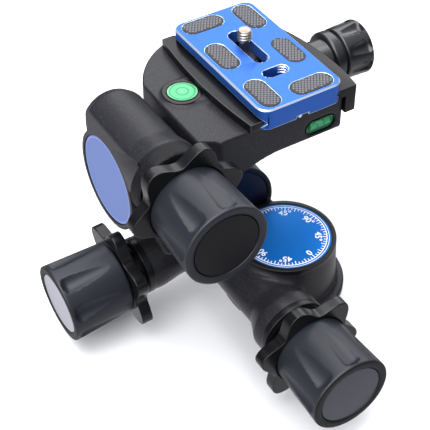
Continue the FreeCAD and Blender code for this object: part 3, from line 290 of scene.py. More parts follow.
# knob end caps: anodised, one tone per knob from near black to pale lavender grey; the roll cap's
# pale grey is painted light from the left
capPaints = {
    "tilt": coated("blackAnodisedCap", {
        "colour": "161619", "light": "1e1e22", "roughness": 0.46, "grain": 0.35, "relief": 0.06,
        "specular": 0.15}),
    "pan": coated("slateAnodisedCap", {
        "colour": "3f404b", "light": "4c4d5a", "metallic": 0.25, "roughness": 0.44,
        "grain": 0.35, "relief": 0.06}),
    # painted light: the roll cap, pale where light from the left falls
    "roll": coated("lavenderGreyCapPaintedLight", {
        "colour": "aeaeb9", "light": "c0c0cb", "metallic": 0.25, "roughness": 0.42,
        "grain": 0.35, "relief": 0.05}),
    "clamp": coated("darkGreyAnodisedCap", {
        "colour": "1d1e22", "light": "292a2f", "metallic": 0.1, "roughness": 0.44, "grain": 0.35,
        "relief": 0.06, "specular": 0.3}),
}
# rubber pads: soft matt grey squares
padRubber = coated("ribbedRubber", {
    "colour": "5e5e63", "light": "707076", "roughness": 0.75, "spread": 0.05, "grain": 0.3,
    "relief": 0.2,
})
# painted shade: the same rubber painted darker at the bottom of its grooves
padGrooveShade = coated("ribbedRubberGroovePaintedShade", {
    "colour": "2c2c30", "light": "38383c", "roughness": 0.85, "spread": 0.05, "grain": 0.3,
    "relief": 0.1,
})
# stainless screws and spindles: bright, with a faint turned grain
stainless = coated("stainlessSteel", {
    "colour": "8f8780", "light": "aaa29a", "metallic": 1.0, "roughness": 0.34, "spread": 0.05,
    "grain": 0.4, "relief": 0.03,
})
# bearing bronze: warm and dull, seen only where a bush shows
bronze = coated("bearingBronze", {
    "colour": "a9803f", "light": "c39a55", "metallic": 1.0, "roughness": 0.35, "spread": 0.05,
    "grain": 0.4, "relief": 0.04,
})
# gloss ABS frames of the levels: black with sharp small highlights
levelFrame = coated("glossBlackAbs", {
    "colour": "09090a", "light": "0f0f11", "roughness": 0.22, "grain": 0.6, "specular": 0.3,
})
# spirit in clear acrylic: fresh green, lit from within, under a glossy skin
levelLiquid = coated("greenSpiritAcrylic", {
    "colour": "38a367", "light": "52b97e", "roughness": 0.3, "spread": 0.02, "grain": 2.5,
    "relief": 0.0, "specular": 0.3, "coat": 0.12, "coatRoughness": 0.1,
})
# the vial's pale rim: painted highlight, a paler green ring just inside the bezel
levelRimHighlight = coated("paleVialRimPaintedHighlight", {
    "colour": "86cda6", "light": "a2dcbc", "roughness": 0.25, "spread": 0.02, "grain": 2.0,
    "relief": 0.0,
})
# the well behind the tube: painted shade, a deep green where the tube shades it
levelWellShade = coated("deepGreenWellPaintedShade", {
    "colour": "2a7a54", "light": "3f9a6d", "roughness": 0.2, "spread": 0.02, "grain": 2.0,
    "relief": 0.0,
})
# reading lines printed in the vial: dark green
levelLine = coated("darkGreenVialLine", {
    "colour": "0f6a3e", "light": "1a7a4a", "roughness": 0.3, "spread": 0.02, "grain": 1.0,
    "relief": 0.0,
})
# the air bubble: a paler green lens
bubbleGlow = coated("paleGreenBubble", {
    "colour": "4bb87b", "light": "5cc489", "roughness": 0.4, "spread": 0.02, "grain": 2.0,
    "relief": 0.0,
})
print("materials made")


def meshOf(name, work):
    mesh = bpy.data.meshes.new(name)
    work.to_mesh(mesh)
    work.free()
    return mesh


def finishPiece(piece, sharp, body, stands):
    # smooth but for its sharp edges, the piece rides on its body
    piece.data.shade_smooth()
    piece.data.set_sharp_from_angle(angle=math.radians(sharp))
    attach(piece, body)
    if stands:
        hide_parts(*stands)


def finishShape(name, work, material, body, place, sharp, stands=()):
    # a bmesh, set in its place, becomes a piece
    work.transform(place)
    bmesh.ops.recalc_face_normals(work, faces=work.faces)
    piece = addObject(name, meshOf(name, work), [material])
    finishPiece(piece, sharp, body, stands)
    return piece


# an arc's steps, and what is too close to the axis, too narrow or too short to round
arc = {"steps": 4, "onAxis": 1e-6, "narrowest": 0.05, "share": 0.48, "least": 0.01}
# points that lie closer than this, in metres, are one
merge = {"spun": 1e-7, "skin": 2e-6}
# degrees past which an edge stays sharp, by kind of shape
sharpPast = {"printed": 30, "turned": 40, "soft": 50, "domed": 60}


def rounded(profile, radius):
    # each corner of a closed profile off the axis becomes an arc
    points = [Vector(point) for point in profile]
    result = []
    for number, corner in enumerate(points):
        before = points[number - 1] - corner
        after = points[(number + 1) % len(points)] - corner
        if min(corner.x, before.length, after.length) < arc["onAxis"]:
            result.append(corner)
            continue
        half = max(before.angle(after) / 2, arc["narrowest"])
        reach = min(
            radius / math.tan(half), before.length * arc["share"], after.length * arc["share"])
        if reach < arc["least"]:
            result.append(corner)
            continue
        start = corner + before.normalized() * reach
        end = corner + after.normalized() * reach
        for step in range(arc["steps"] + 1):
            share = step / arc["steps"]
            result.append(
                start * (1 - share) ** 2 + corner * 2 * share * (1 - share) + end * share ** 2)
    return result


def divided(profile, longest):
    # long runs of a closed profile get points between their ends
    result = []
    for number, point in enumerate(profile):
        after = profile[(number + 1) % len(profile)]
        parts = max(1, math.ceil((after - point).length / longest))
        result += [point.lerp(after, part / parts) for part in range(parts)]
    return result


def band(inner, outer, low, high):
    # closed profile of a ring, or of a disc where the inner radius is 0
    return [(inner, low), (outer, low), (outer, high), (inner, high)]


def turned(profile, steps):
    # closed profile of (radius, station) in mm, spun about the local Z axis
    work = bmesh.new()
    corners = [work.verts.new((point[0] * mm, 0, point[1] * mm)) for point in profile]
    edges = [work.edges.new(pair) for pair in zip(corners, corners[1:] + corners[:1])]
    bmesh.ops.spin(
        work, geom=corners + edges, cent=(0, 0, 0), axis=(0, 0, 1), angle=2 * math.pi,
        steps=steps, use_merge=True, use_duplicate=False)
    bmesh.ops.remove_doubles(work, verts=work.verts, dist=merge["spun"])
    loose = [edge for edge in work.edges if not edge.link_faces]
    bmesh.ops.delete(work, geom=loose, context="EDGES")
    return work


def turnedBands(bands, steps):
    # several rings in one bmesh
    work = bmesh.new()
    for sizes in bands:
        work.from_mesh(meshOf("ring", turned(band(*sizes), steps)))
    return work


def looseCopy(nodeName):
    # a CAD node's mesh, merged into one skin
    work = bmesh.new()
    work.from_mesh(frame["nodes"][nodeName].data)
    bmesh.ops.remove_doubles(work, verts=work.verts, dist=merge["skin"])
    return work


def joinFlats(work, degrees):
    bmesh.ops.dissolve_limit(
        work, angle_limit=math.radians(degrees), verts=work.verts, edges=work.edges,
        use_dissolve_boundaries=False, delimit=set())


def breakEdges(work, edges, width, segments):
    bmesh.ops.bevel(
        work, geom=edges, offset=width * mm, offset_type="OFFSET", segments=segments,
        profile=0.5, affect="EDGES", material=-1)


def addModifier(piece, kind, **settings):
    modifier = piece.modifiers.new(kind.lower(), kind)
    for name, value in settings.items():
        setattr(modifier, name, value)


def shapedMesh(piece):
    graph = bpy.context.evaluated_depsgraph_get()
    return bpy.data.meshes.new_from_object(piece.evaluated_get(graph))


def applyModifiers(piece):
    mesh = shapedMesh(piece)
    piece.modifiers.clear()
    piece.data = mesh
    return mesh


def bodyOf(nodeName):
    return frame["nodes"][nodeName]["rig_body"]


def slotOf(nodeName):
    for subpart in frame["record"]["subparts"]:
        if subpart["node"] == nodeName:
            return subpart["material_slot"]


def cutterTurned(profile, space, steps):
    work = turned(profile, steps)
    work.transform(space)
    bmesh.ops.recalc_face_normals(work, faces=work.faces)
    return addObject("cutter", meshOf("cutter", work))


def cutterBlock(low, high):
    # upright block between two corners in mm
    low, high = ([value * mm for value in corner] for corner in (low, high))
    centre = [(low[axis] + high[axis]) / 2 for axis in range(3)]
    size = [high[axis] - low[axis] for axis in range(3)]
    work = bmesh.new()
    bmesh.ops.create_cube(
        work, size=1.0, matrix=Matrix.Translation(centre) @ Matrix.Diagonal((*size, 1)))
    return addObject("cutter", meshOf("cutter", work))


def bevelled(name, nodeName, materials, edge, carve=()):
    # a machined piece: flat faces joined, then every sharp edge broken
    piece = addObject(name, meshOf(name, looseCopy(nodeName)), materials)
    for operation, cutter in carve:
        addModifier(piece, "BOOLEAN", operation=operation, solver="EXACT", object=cutter)
    mesh = applyModifiers(piece)
    for operation, cutter in carve:
        bpy.data.objects.remove(cutter)
    work = bmesh.new()
    work.from_mesh(mesh)
    joinFlats(work, edge["flat"])
    work.to_mesh(mesh)
    work.free()
    addModifier(
        piece, "BEVEL", width=edge["width"] * mm, segments=edge["segments"],
        limit_method="ANGLE", angle_limit=math.radians(edge["sharp"]),
        material=edge.get("material", -1), use_clamp_overlap=edge.get("clamp", True))
    applyModifiers(piece)
    finishPiece(piece, edge["smooth"], bodyOf(nodeName), [nodeName])
    return piece


def spaceAt(origin, way, along):
    # local X goes the way, local Z runs along
    axes = Matrix((way, along.cross(way), along)).transposed().to_4x4()
    return Matrix.Translation(origin) @ axes


def wormSpace(unit):
    # local Z runs along the worm to its knob, local X away from the wheel's axis
    turn = joints[unit + "_knob_turn"]
    origin = Vector(turn["pos_m"])
    way = (origin - Vector(joints[unit]["pos_m"])).normalized()
    return spaceAt(origin, way, Vector(turn["axis"]).normalized())


def span(nodeName, space):
    # lowest and highest station and the largest radius of a node, in mm
    back = space.inverted()
    places = [back @ vertex.co for vertex in frame["nodes"][nodeName].data.vertices]
    stations = [place.z / mm for place in places]
    return min(stations), max(stations), max(place.xy.length for place in places) / mm


# cast housings: inner corners filled, edges softened, then the seats machined
discOf = {"pan": "pan_dial", "roll": "roll_disc", "tilt": "tilt_disc"}
castingOf = {"pan": "lower_housing", "roll": "lower_housing", "tilt": "upper_housing"}
castLook = {
    "voxel": 0.55, "smooth": 3, "factor": 0.5,
    "fillet": {"lower_housing": 1.4, "upper_housing": 1.4, "platform": 0.8},
}
seats = {
    "discGap": 0.3, "discInset": 0.4, "clearance": {"pan": 6.0, "roll": 0.45, "tilt": 6.0},
    "under": 0.1, "rimCut": ("pan", "tilt"), "rimRoom": 0.05, "cutSteps": 128, "rimSteps": 192,
    "rimRadius": {"pan": 21.7, "roll": 21.55, "tilt": 21.55}, "rimDepth": 2.4, "rimEdge": 0.3,
    "overhang": {"pan": 0.95, "roll": 0.0, "tilt": 0.0}, "lipRoom": 0.1,
    "mouthDepth": 3.2, "mouthWall": 1.5, "past": 2.0, "ringGap": 0.4, "ringLength": 8.8,
    "collarRadius": {"pan": 15.05, "roll": 12.85, "tilt": 14.9}, "lipEdge": 0.5,
    "lipSteps": 160,
    # the tilt unit's side is milled level with its disc, and its collar turned a little down
    "milledLow": (-75.0, 7.0, 60.0), "milledHigh": (-63.0, 60.0, 110.0),
    "turnedFrom": 29.0, "turnedOut": 17.5,
}


def discSpace(unit):
    # local Z points out of the unit's end disc
    joint = joints[unit]
    origin = Vector(joint["pos_m"])
    low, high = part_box(discOf[unit])
    along = Vector(joint["axis"]).normalized()
    if along.dot((low + high) / 2 - origin) < 0:
        along = -along
    way = (Vector(joints[unit + "_knob_turn"]["pos_m"]) - origin).normalized()
    return spaceAt(origin, way, along)


def collarMouth(unit):
    return span(unit + "_knob", wormSpace(unit))[0] - 2 * seats["ringGap"] - seats["ringLength"]


def seatCutters(nodeName):
    cutters = []
    for unit in units:
        if castingOf[unit] != nodeName:
            continue
        low, high, radius = span(discOf[unit], discSpace(unit))
        face = high + seats["discInset"]
        clear = face + seats["clearance"][unit]
        cutters.append(cutterTurned(
            band(0, radius + seats["discGap"], low - seats["under"], clear),
            discSpace(unit), seats["cutSteps"]))
        if unit in seats["rimCut"]:
            cutters.append(cutterTurned(
                band(0, seats["rimRadius"][unit] + seats["rimRoom"], face, clear),
                discSpace(unit), seats["cutSteps"]))
        mouth = collarMouth(unit)
        past = mouth + seats["past"]
        outer = seats["collarRadius"][unit]
        cutters.append(cutterTurned(
            band(0, outer - seats["mouthWall"], mouth - seats["mouthDepth"], past),
            wormSpace(unit), seats["cutSteps"]))
        if unit == "tilt":
            cutters.append(cutterBlock(seats["milledLow"], seats["milledHigh"]))
            cutters.append(cutterTurned(
                band(outer, seats["turnedOut"], seats["turnedFrom"], past),
                wormSpace(unit), seats["lipSteps"]))
    return cutters


def castHousing(nodeName):
    piece = addObject(
        nodeName + "_casting", meshOf("casting", looseCopy(nodeName)), [powderCoat])
    voxel = {"mode": "VOXEL", "voxel_size": castLook["voxel"] * mm, "use_smooth_shade": True}
    fillet = castLook["fillet"][nodeName] * mm
    addModifier(piece, "REMESH", **voxel)
    for swell in (fillet, -fillet):
        addModifier(piece, "DISPLACE", strength=swell, mid_level=0.0)
        addModifier(piece, "REMESH", **voxel)
    addModifier(piece, "SMOOTH", factor=castLook["factor"], iterations=castLook["smooth"])
    cutters = seatCutters(nodeName)
    for cutter in cutters:
        addModifier(
            piece, "BOOLEAN", operation="DIFFERENCE", solver="MANIFOLD", object=cutter)
    mesh = applyModifiers(piece)
    for cutter in cutters:
        bpy.data.objects.remove(cutter)
    mesh.materials.clear()
    mesh.materials.append(powderCoat)
    finishPiece(piece, sharpPast["soft"], bodyOf(nodeName), [nodeName])


def machinedRim(unit):
    # turned rim round the end disc, with a lip over the pan unit's dial
    space = discSpace(unit)
    _, high, radius = span(discOf[unit], space)
    face = high + seats["discInset"]
    foot = face - seats["rimDepth"]
    inner = radius + seats["discGap"]
    outer = seats["rimRadius"][unit]
    mouth = inner - seats["overhang"][unit]
    corners = [(inner, foot), (outer, foot), (outer, face), (mouth, face)]
    if mouth < inner:
        lip = high + seats["lipRoom"]
        corners += [(mouth, lip), (inner, lip)]
    finishShape(
        unit + "_rim", turned(rounded(corners, seats["rimEdge"]), seats["rimSteps"]), satinRim,
        bodyOf(castingOf[unit]), space, sharpPast["soft"])


def collarLip(unit):
    # turned lip at the mouth of the collar
    mouth = collarMouth(unit)
    outer = seats["collarRadius"][unit]
    profile = rounded(
        band(outer - seats["mouthWall"], outer, mouth - seats["mouthDepth"], mouth),
        seats["lipEdge"])
    finishShape(
        unit + "_lip", turned(profile, seats["lipSteps"]), satinRim, bodyOf(castingOf[unit]),
        wormSpace(unit), sharpPast["soft"])


for nodeName in castLook["fillet"]:
    castHousing(nodeName)
for unit in units:
    machinedRim(unit)
    collarLip(unit)
print("castings made")


# fluted knobs with their caps
grip = {
    "steps": 240, "longest": 0.6, "backRadius": 16.1, "edge": 1.0, "boreRadius": 4.0,
    "roomRadius": 4.4, "flutes": 8, "fluteRadius": 5.7, "floorStart": 16.25,
    "floorRadius": 15.3, "startMargin": 2.7, "endMargin": 1.2, "endRound": 3.0,
    "blend": 0.045, "capGap": 0.25, "capEdge": 0.35, "capInset": 0.4,
}
clampGrip = {
    "steps": 200, "longest": 0.5, "backRadius": 11.4, "edge": 0.8, "boreRadius": 2.9,
    "roomRadius": 3.2, "flutes": 8, "fluteRadius": 4.2, "floorStart": 10.9,
    "floorRadius": 10.2, "startMargin": 1.0, "endMargin": 0.7, "endRound": 1.6,
    "blend": 0.04, "capGap": 0.2, "capEdge": 0.3, "capInset": 0.3,
}
gripTurn = {"pan": -3.0, "roll": 22.0, "tilt": -7.5, "clamp": 10.0}
# every knob: how deep its end is hollowed for the screw, what counts as its end face, which is
# painted in shade, and what a flute leaves alone
gripLook = {
    "roomDepth": 2.0, "shadedEndFace": 0.85, "sharp": 28, "skin": 1.0, "faint": -6.0,
}


def scoop(work, hand, start, end, turn):
    # each flute is the mark of a round cutter run along the knob, a little deeper towards
    # the knob's end, with its own ends rounded
    first = start + hand["startMargin"] + hand["endRound"]
    last = end - hand["endMargin"] - hand["endRound"]
    pitch = 2 * math.pi / hand["flutes"]
    for vertex in work.verts:
        place = vertex.co / mm
        around = place.xy.length
        past = max(0.0, first - place.z, place.z - last)
        share = min(max((place.z - first) / (last - first), 0.0), 1.0)
        axis = hand["fluteRadius"] + hand["floorStart"] + share * (
            hand["floorRadius"] - hand["floorStart"])
        if around < hand["floorRadius"] - gripLook["skin"] or past >= hand["endRound"]:
            continue
        size = hand["fluteRadius"] - hand["endRound"] + math.sqrt(
            hand["endRound"] ** 2 - past ** 2)
        angle = math.atan2(place.y, place.x) - math.radians(turn)
        offset = (angle + pitch / 2) % pitch - pitch / 2
        room = size ** 2 - (axis * math.sin(offset)) ** 2
        if room <= 0:
            continue
        gap = (around - axis * math.cos(offset) + math.sqrt(room)) / hand["blend"]
        if gap < gripLook["faint"]:
            continue
        cut = hand["blend"] * (math.log1p(math.exp(-abs(gap))) + max(gap, 0.0))
        vertex.co.xy *= (around - cut) / around


def makeKnob(unit, hand, coat, space, body):
    start, end, radius = span(unit + "_knob", space)
    floor, _, capRadius = span(unit + "_knob_cap", space)
    room = floor - gripLook["roomDepth"]
    profile = rounded([
        (hand["boreRadius"], start), (hand["backRadius"], start), (radius, end),
        (capRadius, end), (capRadius, floor), (hand["roomRadius"], floor),
        (hand["roomRadius"], room), (hand["boreRadius"], room)], hand["edge"])
    work = turned(divided(profile, hand["longest"]), hand["steps"])
    scoop(work, hand, start, end, gripTurn[unit])
    piece = finishShape(
        unit + "_grip", work, coat, body, space, gripLook["sharp"],
        [unit + "_knob"])
    piece.data.materials.append(shadedKnobEnd)
    along = space.col[2].xyz
    # faces that point out along the knob get the darker painted shade
    for face in piece.data.polygons:
        if face.normal.dot(along) > gripLook["shadedEndFace"]:
            face.material_index = 1
    profile = rounded(
        band(0, capRadius - hand["capGap"], floor, end - hand["capInset"]), hand["capEdge"])
    finishShape(
        unit + "_cap", turned(profile, hand["steps"]), capPaints[unit], body,
        space, sharpPast["soft"], [unit + "_knob_cap"])


for unit in units:
    makeKnob(unit, grip, knobCoat, wormSpace(unit), unit + "_drive")
screwTurn = joints["clamp_screw_turn"]
screwOrigin = Vector(screwTurn["pos_m"])
screwOrigin.x = 0.0
clampSpace = spaceAt(screwOrigin, Vector((0, 0, 1)), Vector(screwTurn["axis"]))
makeKnob("clamp", clampGrip, clampCoat, clampSpace, "clamp_hand_screw")
print("knobs made")


# release rings: a neck, and a lobed flange that is cupped round the back of the knob
petals = {
    "steps": 288, "count": 6, "valleyRadius": 17.7, "wall": 1.0, "sleeveRadius": 10.5,
    "neckRadius": 11.8, "neckLength": 3.0, "bore": 6.0, "edge": 0.45, "longest": 0.9,
    "thickness": 5.0, "floorRadius": 14.5, "cupGap": 0.45,
    "shift": {"pan": 1.3, "roll": 0.2, "tilt": 1.6},
    "turn": {"pan": -12, "roll": 58, "tilt": 39},
}


def petalRing(unit):
    space = wormSpace(unit)
    sleeveStart, end, tip = span(unit + "_release_ring", space)
    front = end + petals["shift"][unit]
    back = front - petals["thickness"]
    neck = back - petals["neckLength"]
    floor = end - petals["cupGap"]
    cup = petals["valleyRadius"] - petals["wall"]
    profile = rounded([
        (petals["bore"], sleeveStart), (petals["sleeveRadius"], sleeveStart),
        (petals["sleeveRadius"], neck), (petals["neckRadius"], neck),
        (petals["neckRadius"], back), (tip, back), (tip, front), (cup, front),
        (petals["floorRadius"], floor), (petals["bore"], floor)], petals["edge"])
    work = turned(divided(profile, petals["longest"]), petals["steps"])
    turn = math.radians(petals["turn"][unit])
    for vertex in work.verts:
        around = vertex.co.xy.length / mm
        if around <= cup:
            continue
        angle = math.atan2(vertex.co.y, vertex.co.x) - turn
        swell = (1 + math.cos(petals["count"] * angle)) / 2
        reach = petals["valleyRadius"] + (tip - petals["valleyRadius"]) * swell
        vertex.co.xy *= (cup + (around - cup) * (reach - cup) / (tip - cup)) / around
    finishShape(
        unit + "_petals", work, ringCoat, unit + "_ring", space,
        sharpPast["soft"], [unit + "_release_ring"])


for unit in units:
    petalRing(unit)
print("rings made")


# plate, jaws and other machined pieces; an edge with a material has its bevels in that one
plateEdge = {
    "flat": 1.0, "width": 0.28, "segments": 2, "sharp": 50, "material": 1, "smooth": 20,
    "clamp": False,
}
jawEdge = {
    "flat": 1.0, "width": 0.4, "segments": 3, "sharp": 30, "smooth": 22, "material": 1,
}
movingJawEdge = {**jawEdge, "width": 0.9, "segments": 4}
softEdge = {"flat": 0.5, "width": 0.3, "segments": 2, "sharp": 35, "smooth": 22}
plateLook = {
    "corner": 5.0, "cornerSteps": 12, "chamfer": 0.6, "chamferSlope": (0.5, 0.9),
    "brightDepth": 1.0, "past": 1.0, "notch": (4.9, 10.4, 4.2, 93.8), "pinRadius": 0.9,
    "pinPlace": (6.4, 93.6), "pinLength": 3.5, "pinEdge": 0.2, "pinSteps": 32,
}


def plateOutline(low, high):
    # upright block with round corners and a chamfered top
    block = cutterBlock(low, high)
    work = bmesh.new()
    work.from_mesh(block.data)
    uprights = [
        edge for edge in work.edges if abs((edge.verts[0].co - edge.verts[1].co).z) > mm]
    breakEdges(work, uprights, plateLook["corner"], plateLook["cornerSteps"])
    top = high[2] * mm - merge["skin"]
    rim = [edge for edge in work.edges if min(vert.co.z for vert in edge.verts) > top]
    breakEdges(work, rim, plateLook["chamfer"], 1)
    work.to_mesh(block.data)
    work.free()
    return block


def platePiece():
    low, high = (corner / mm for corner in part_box("quick_release_plate"))
    past = plateLook["past"]
    block = plateOutline((low.x, low.y, low.z - past), high)
    left, right, back, top = plateLook["notch"]
    notch = cutterBlock((left, low.y - past, low.z - past), (right, back, top))
    piece = bevelled(
        "plate_body", "quick_release_plate", [plateAnodised, cutEdge], plateEdge,
        [("INTERSECT", block), ("DIFFERENCE", notch)])
    gentle, steep = plateLook["chamferSlope"]
    for face in piece.data.polygons:
        bright = face.center.z > (high.z - plateLook["brightDepth"]) * mm
        if bright and gentle < face.normal.z < steep:
            face.material_index = 1
    pin = turned(
        rounded(band(0, plateLook["pinRadius"], 0, plateLook["pinLength"]),
                plateLook["pinEdge"]), plateLook["pinSteps"])
    x, z = plateLook["pinPlace"]
    place = at(x, low.y, z) @ Matrix.Rotation(-math.pi / 2, 4, "X")
    finishShape("stop_pin", pin, cutEdge, "plate", place, sharpPast["turned"])


platePiece()
# the jaws' bevels carry the painted highlight
bevelled("fixed_jaw_body", "fixed_jaw", [jawAnodised, jawEdgeHighlight], jawEdge)
bevelled("moving_jaw_body", "moving_jaw", [jawAnodised, jawEdgeHighlight], movingJawEdge)
bevelled("clamp_collar_body", "clamp_collar", [clampCoat], softEdge)
bevelled("base_body", "base_plate", [powderCoat], softEdge)
print("machined pieces made")


# screw slots: the thread cut into their ends shows as bright half rings
slotThreads = {
    "long_slot_thread": {"centre": (8.0, 34.4), "radius": 3.4, "from": 180},
    "cross_slot_thread": {"centre": (10.95, 23.4), "radius": 2.8, "from": -90},
}
threadArc = {
    "pitch": 1.27, "count": 3, "depth": 0.35, "first": 101.0, "steps": 24, "lap": 0.05,
    "half": 0.3,
}


def slotThread(name, place):
    work = bmesh.new()
    outer = place["radius"] + threadArc["lap"]
    for number in range(threadArc["count"]):
        height = threadArc["first"] - number * threadArc["pitch"]
        profile = [
            (outer, height - threadArc["half"]), (outer - threadArc["depth"], height),
            (outer, height + threadArc["half"])]
        corners = [work.verts.new((x * mm, 0, z * mm)) for x, z in profile]
        face = work.faces.new(corners)
        bmesh.ops.spin(
            work, geom=corners + list(face.edges) + [face], cent=(0, 0, 0), axis=(0, 0, 1),
            angle=math.pi, steps=threadArc["steps"], use_merge=False, use_duplicate=False)
    x, y = place["centre"]
    turn = at(x, y, 0) @ Matrix.Rotation(math.radians(place["from"]), 4, "Z")
    finishShape(name, work, cutEdge, "plate", turn, sharpPast["turned"])


for name, place in slotThreads.items():
    slotThread(name, place)


# rubber pads: the top of each is a grid of small squares between grooves, drawn a little
# coarser than the real 1 mm, so that it shows; a square cut off by the edge stays low
padLook = {
    "pitch": 1.22, "groove": 0.17, "depth": 0.18, "turn": -34.0, "whole": 0.98, "flat": 1.0,
    "up": 0.9, "sharp": 30,
}


def padPieces():
    work = looseCopy("plate_pads")
    joinFlats(work, padLook["flat"])
    low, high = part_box("plate_pads")
    centre = (low + high) / 2
    reach = (high - low).length / 2 / mm
    count = int(reach / padLook["pitch"])
    for quarter in (0, 90):
        angle = math.radians(padLook["turn"] + quarter)
        along = Vector((math.cos(angle), math.sin(angle), 0))
        for number in range(-count, count + 1):
            bmesh.ops.bisect_plane(
                work, geom=work.verts[:] + work.edges[:] + work.faces[:], dist=merge["spun"],
                plane_co=centre + along * number * padLook["pitch"] * mm, plane_no=along)
    whole = (padLook["pitch"] * mm) ** 2 * padLook["whole"]
    top = [face for face in work.faces if face.normal.z > padLook["up"]]
    squares = [face for face in top if face.calc_area() > whole]
    verts = list({vert for face in top for vert in face.verts})
    bmesh.ops.translate(work, vec=(0, 0, -padLook["depth"] * mm), verts=verts)
    bmesh.ops.inset_individual(
        work, faces=squares, thickness=padLook["groove"] * mm, depth=padLook["depth"] * mm,
        use_even_offset=True)
    # groove faces get the painted shade; the squares keep the plain rubber
    for face in work.faces:
        face.material_index = 1
    for face in squares:
        face.material_index = 0
    pads = finishShape(
        "pads", work, padRubber, "plate", Matrix(), padLook["sharp"],
        ["plate_pads"])
    pads.data.materials.append(padGrooveShade)


padPieces()
print("pads made")


# camera screw: head, neck and a real thread of 20 to the inch
screwLook = {
    "pitch": 1.27, "coreRadius": 2.62, "crestRadius": 3.15, "length": 5.2, "neckRadius": 2.1,
    "headHeight": 2.2, "tip": 0.6, "steps": 40, "turns": 2.9, "start": 0.35, "slotDepth": 0.3,
    "edge": 0.35, "bodySteps": 64, "sunk": 0.1, "crest": (0.42, 0.58), "foot": 1.1,
}


def cameraScrew():
    low, high = (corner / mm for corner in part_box("camera_screw"))
    centre = (low + high) / 2
    head = (high.x - low.x) / 2
    neck = screwLook["neckRadius"]
    top = high.z - low.z
    thread = top - screwLook["length"]
    core = screwLook["coreRadius"]
    profile = rounded([
        (0, 0), (head, 0), (head, screwLook["headHeight"]), (neck, screwLook["headHeight"]),
        (neck, thread), (core, thread), (core, top), (core - screwLook["tip"], top),
        (0, top - screwLook["slotDepth"])], screwLook["edge"])
    place = at(centre.x, centre.y, low.z)
    finishShape(
        "camera_screw_body", turned(profile, screwLook["bodySteps"]), stainless,
        "camera_screw_turning", place, sharpPast["turned"], ["camera_screw"])
    ridge = bmesh.new()
    start = thread + screwLook["start"]
    root = core - screwLook["sunk"]
    crest = screwLook["crestRadius"]
    rise, fall = screwLook["crest"]
    corners = [ridge.verts.new((x * mm, 0, z * mm)) for x, z in (
        (root, start - screwLook["sunk"]), (crest, start + rise), (crest, start + fall),
        (root, start + screwLook["foot"]))]
    face = ridge.faces.new(corners)
    bmesh.ops.spin(
        ridge, geom=corners + list(face.edges) + [face], cent=(0, 0, 0), axis=(0, 0, 1),
        dvec=(0, 0, screwLook["pitch"] / screwLook["steps"] * mm),
        angle=2 * math.pi * screwLook["turns"],
        steps=int(screwLook["steps"] * screwLook["turns"]), use_merge=False,
        use_duplicate=False)
    finishShape(
        "camera_screw_thread", ridge, stainless, "camera_screw_turning", place,
        sharpPast["turned"])


cameraScrew()
print("camera screw made")


# dial: two rings, a tick each 5 degrees and plain numbers, printed on the blue disc
dialMarks = {
    "height": 0.05, "sunk": 0.05, "rings": [(18.55, 18.8), (17.5, 17.9)], "ringSteps": 180,
    "tickRadius": 17.6, "ticks": 72, "longEvery": 3, "short": 1.25, "long": 1.9,
    "width": 0.36, "numberSize": 4.0, "numberRadius": 13.9, "first": -79.0, "bold": 0.06,
    "numberStep": 45, "numbers": ("0", "45\u00b0", "90\u00b0", "45\u00b0"),
}
# tilt disc: a thin pale line printed just inside its edge
discLine = {"inner": 18.35, "outer": 18.65, "steps": 160}


def dialNumber(body, angle, radius, height):
    text = bpy.data.curves.new("number", "FONT")
    text.body = body
    text.size = dialMarks["numberSize"] * mm
    text.align_x = "CENTER"
    text.align_y = "CENTER"
    text.extrude = dialMarks["height"] * mm / 2
    text.offset = dialMarks["bold"] * mm
    holder = addObject("number", text)
    mesh = shapedMesh(holder)
    bpy.data.objects.remove(holder)
    turn = math.radians(angle)
    place = at(radius * math.cos(turn), radius * math.sin(turn), height)
    mesh.transform(place @ Matrix.Rotation(turn - math.pi / 2, 4, "Z"))
    return mesh


def printDial():
    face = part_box("pan_dial")[1].z / mm
    foot = face - dialMarks["sunk"]
    top = face + dialMarks["height"]
    work = turnedBands(
        [(*ring, foot, top) for ring in dialMarks["rings"]], dialMarks["ringSteps"])
    for number in range(dialMarks["ticks"]):
        length = dialMarks["long" if number % dialMarks["longEvery"] == 0 else "short"]
        turn = Matrix.Rotation(
            math.radians(dialMarks["first"]) + 2 * math.pi * number / dialMarks["ticks"], 4, "Z")
        place = at(dialMarks["tickRadius"] - length / 2, 0, (foot + top) / 2)
        size = Matrix.Diagonal((length * mm, dialMarks["width"] * mm, (top - foot) * mm, 1))
        bmesh.ops.create_cube(work, size=1.0, matrix=turn @ place @ size)
    for angle in range(0, 360, dialMarks["numberStep"]):
        numbers = dialMarks["numbers"]
        work.from_mesh(dialNumber(
            numbers[angle // dialMarks["numberStep"] % len(numbers)],
            dialMarks["first"] + angle, dialMarks["numberRadius"], (face + top) / 2))
    finishShape(
        "dial_marks", work, dialInk, "base", Matrix(), sharpPast["printed"])


def printDiscLine():
    space = discSpace("tilt")
    face = span("tilt_disc", space)[1]
    profile = band(
        discLine["inner"], discLine["outer"], face - dialMarks["sunk"],
        face + dialMarks["height"])
    finishShape(
        "tilt_disc_line", turned(profile, discLine["steps"]), discInk, bodyOf("tilt_disc"),
        space, sharpPast["printed"])


printDial()
printDiscLine()
print("dial printed")


# round level: black bezel, domed green vial with two rings, bubble in the middle
roundLook = {
    "steps": 96, "bezel": 0.2, "edge": 0.08, "collar": (6.5, 8.3), "collarHeight": (91.8, 93.8),
    "collarEdge": 0.35, "sunk": 0.1, "dome": 0.35, "domeStep": 10, "rings": (2.5, 5.1),
    "line": 0.45, "lineSteps": 72, "lineDepth": 0.1, "lineRise": 0.03, "rim": 0.3,
    "rimDepth": 0.2, "rimRise": (0.04, 0.05), "bubbleRadius": 1.9, "bubbleFlat": 0.06,
}
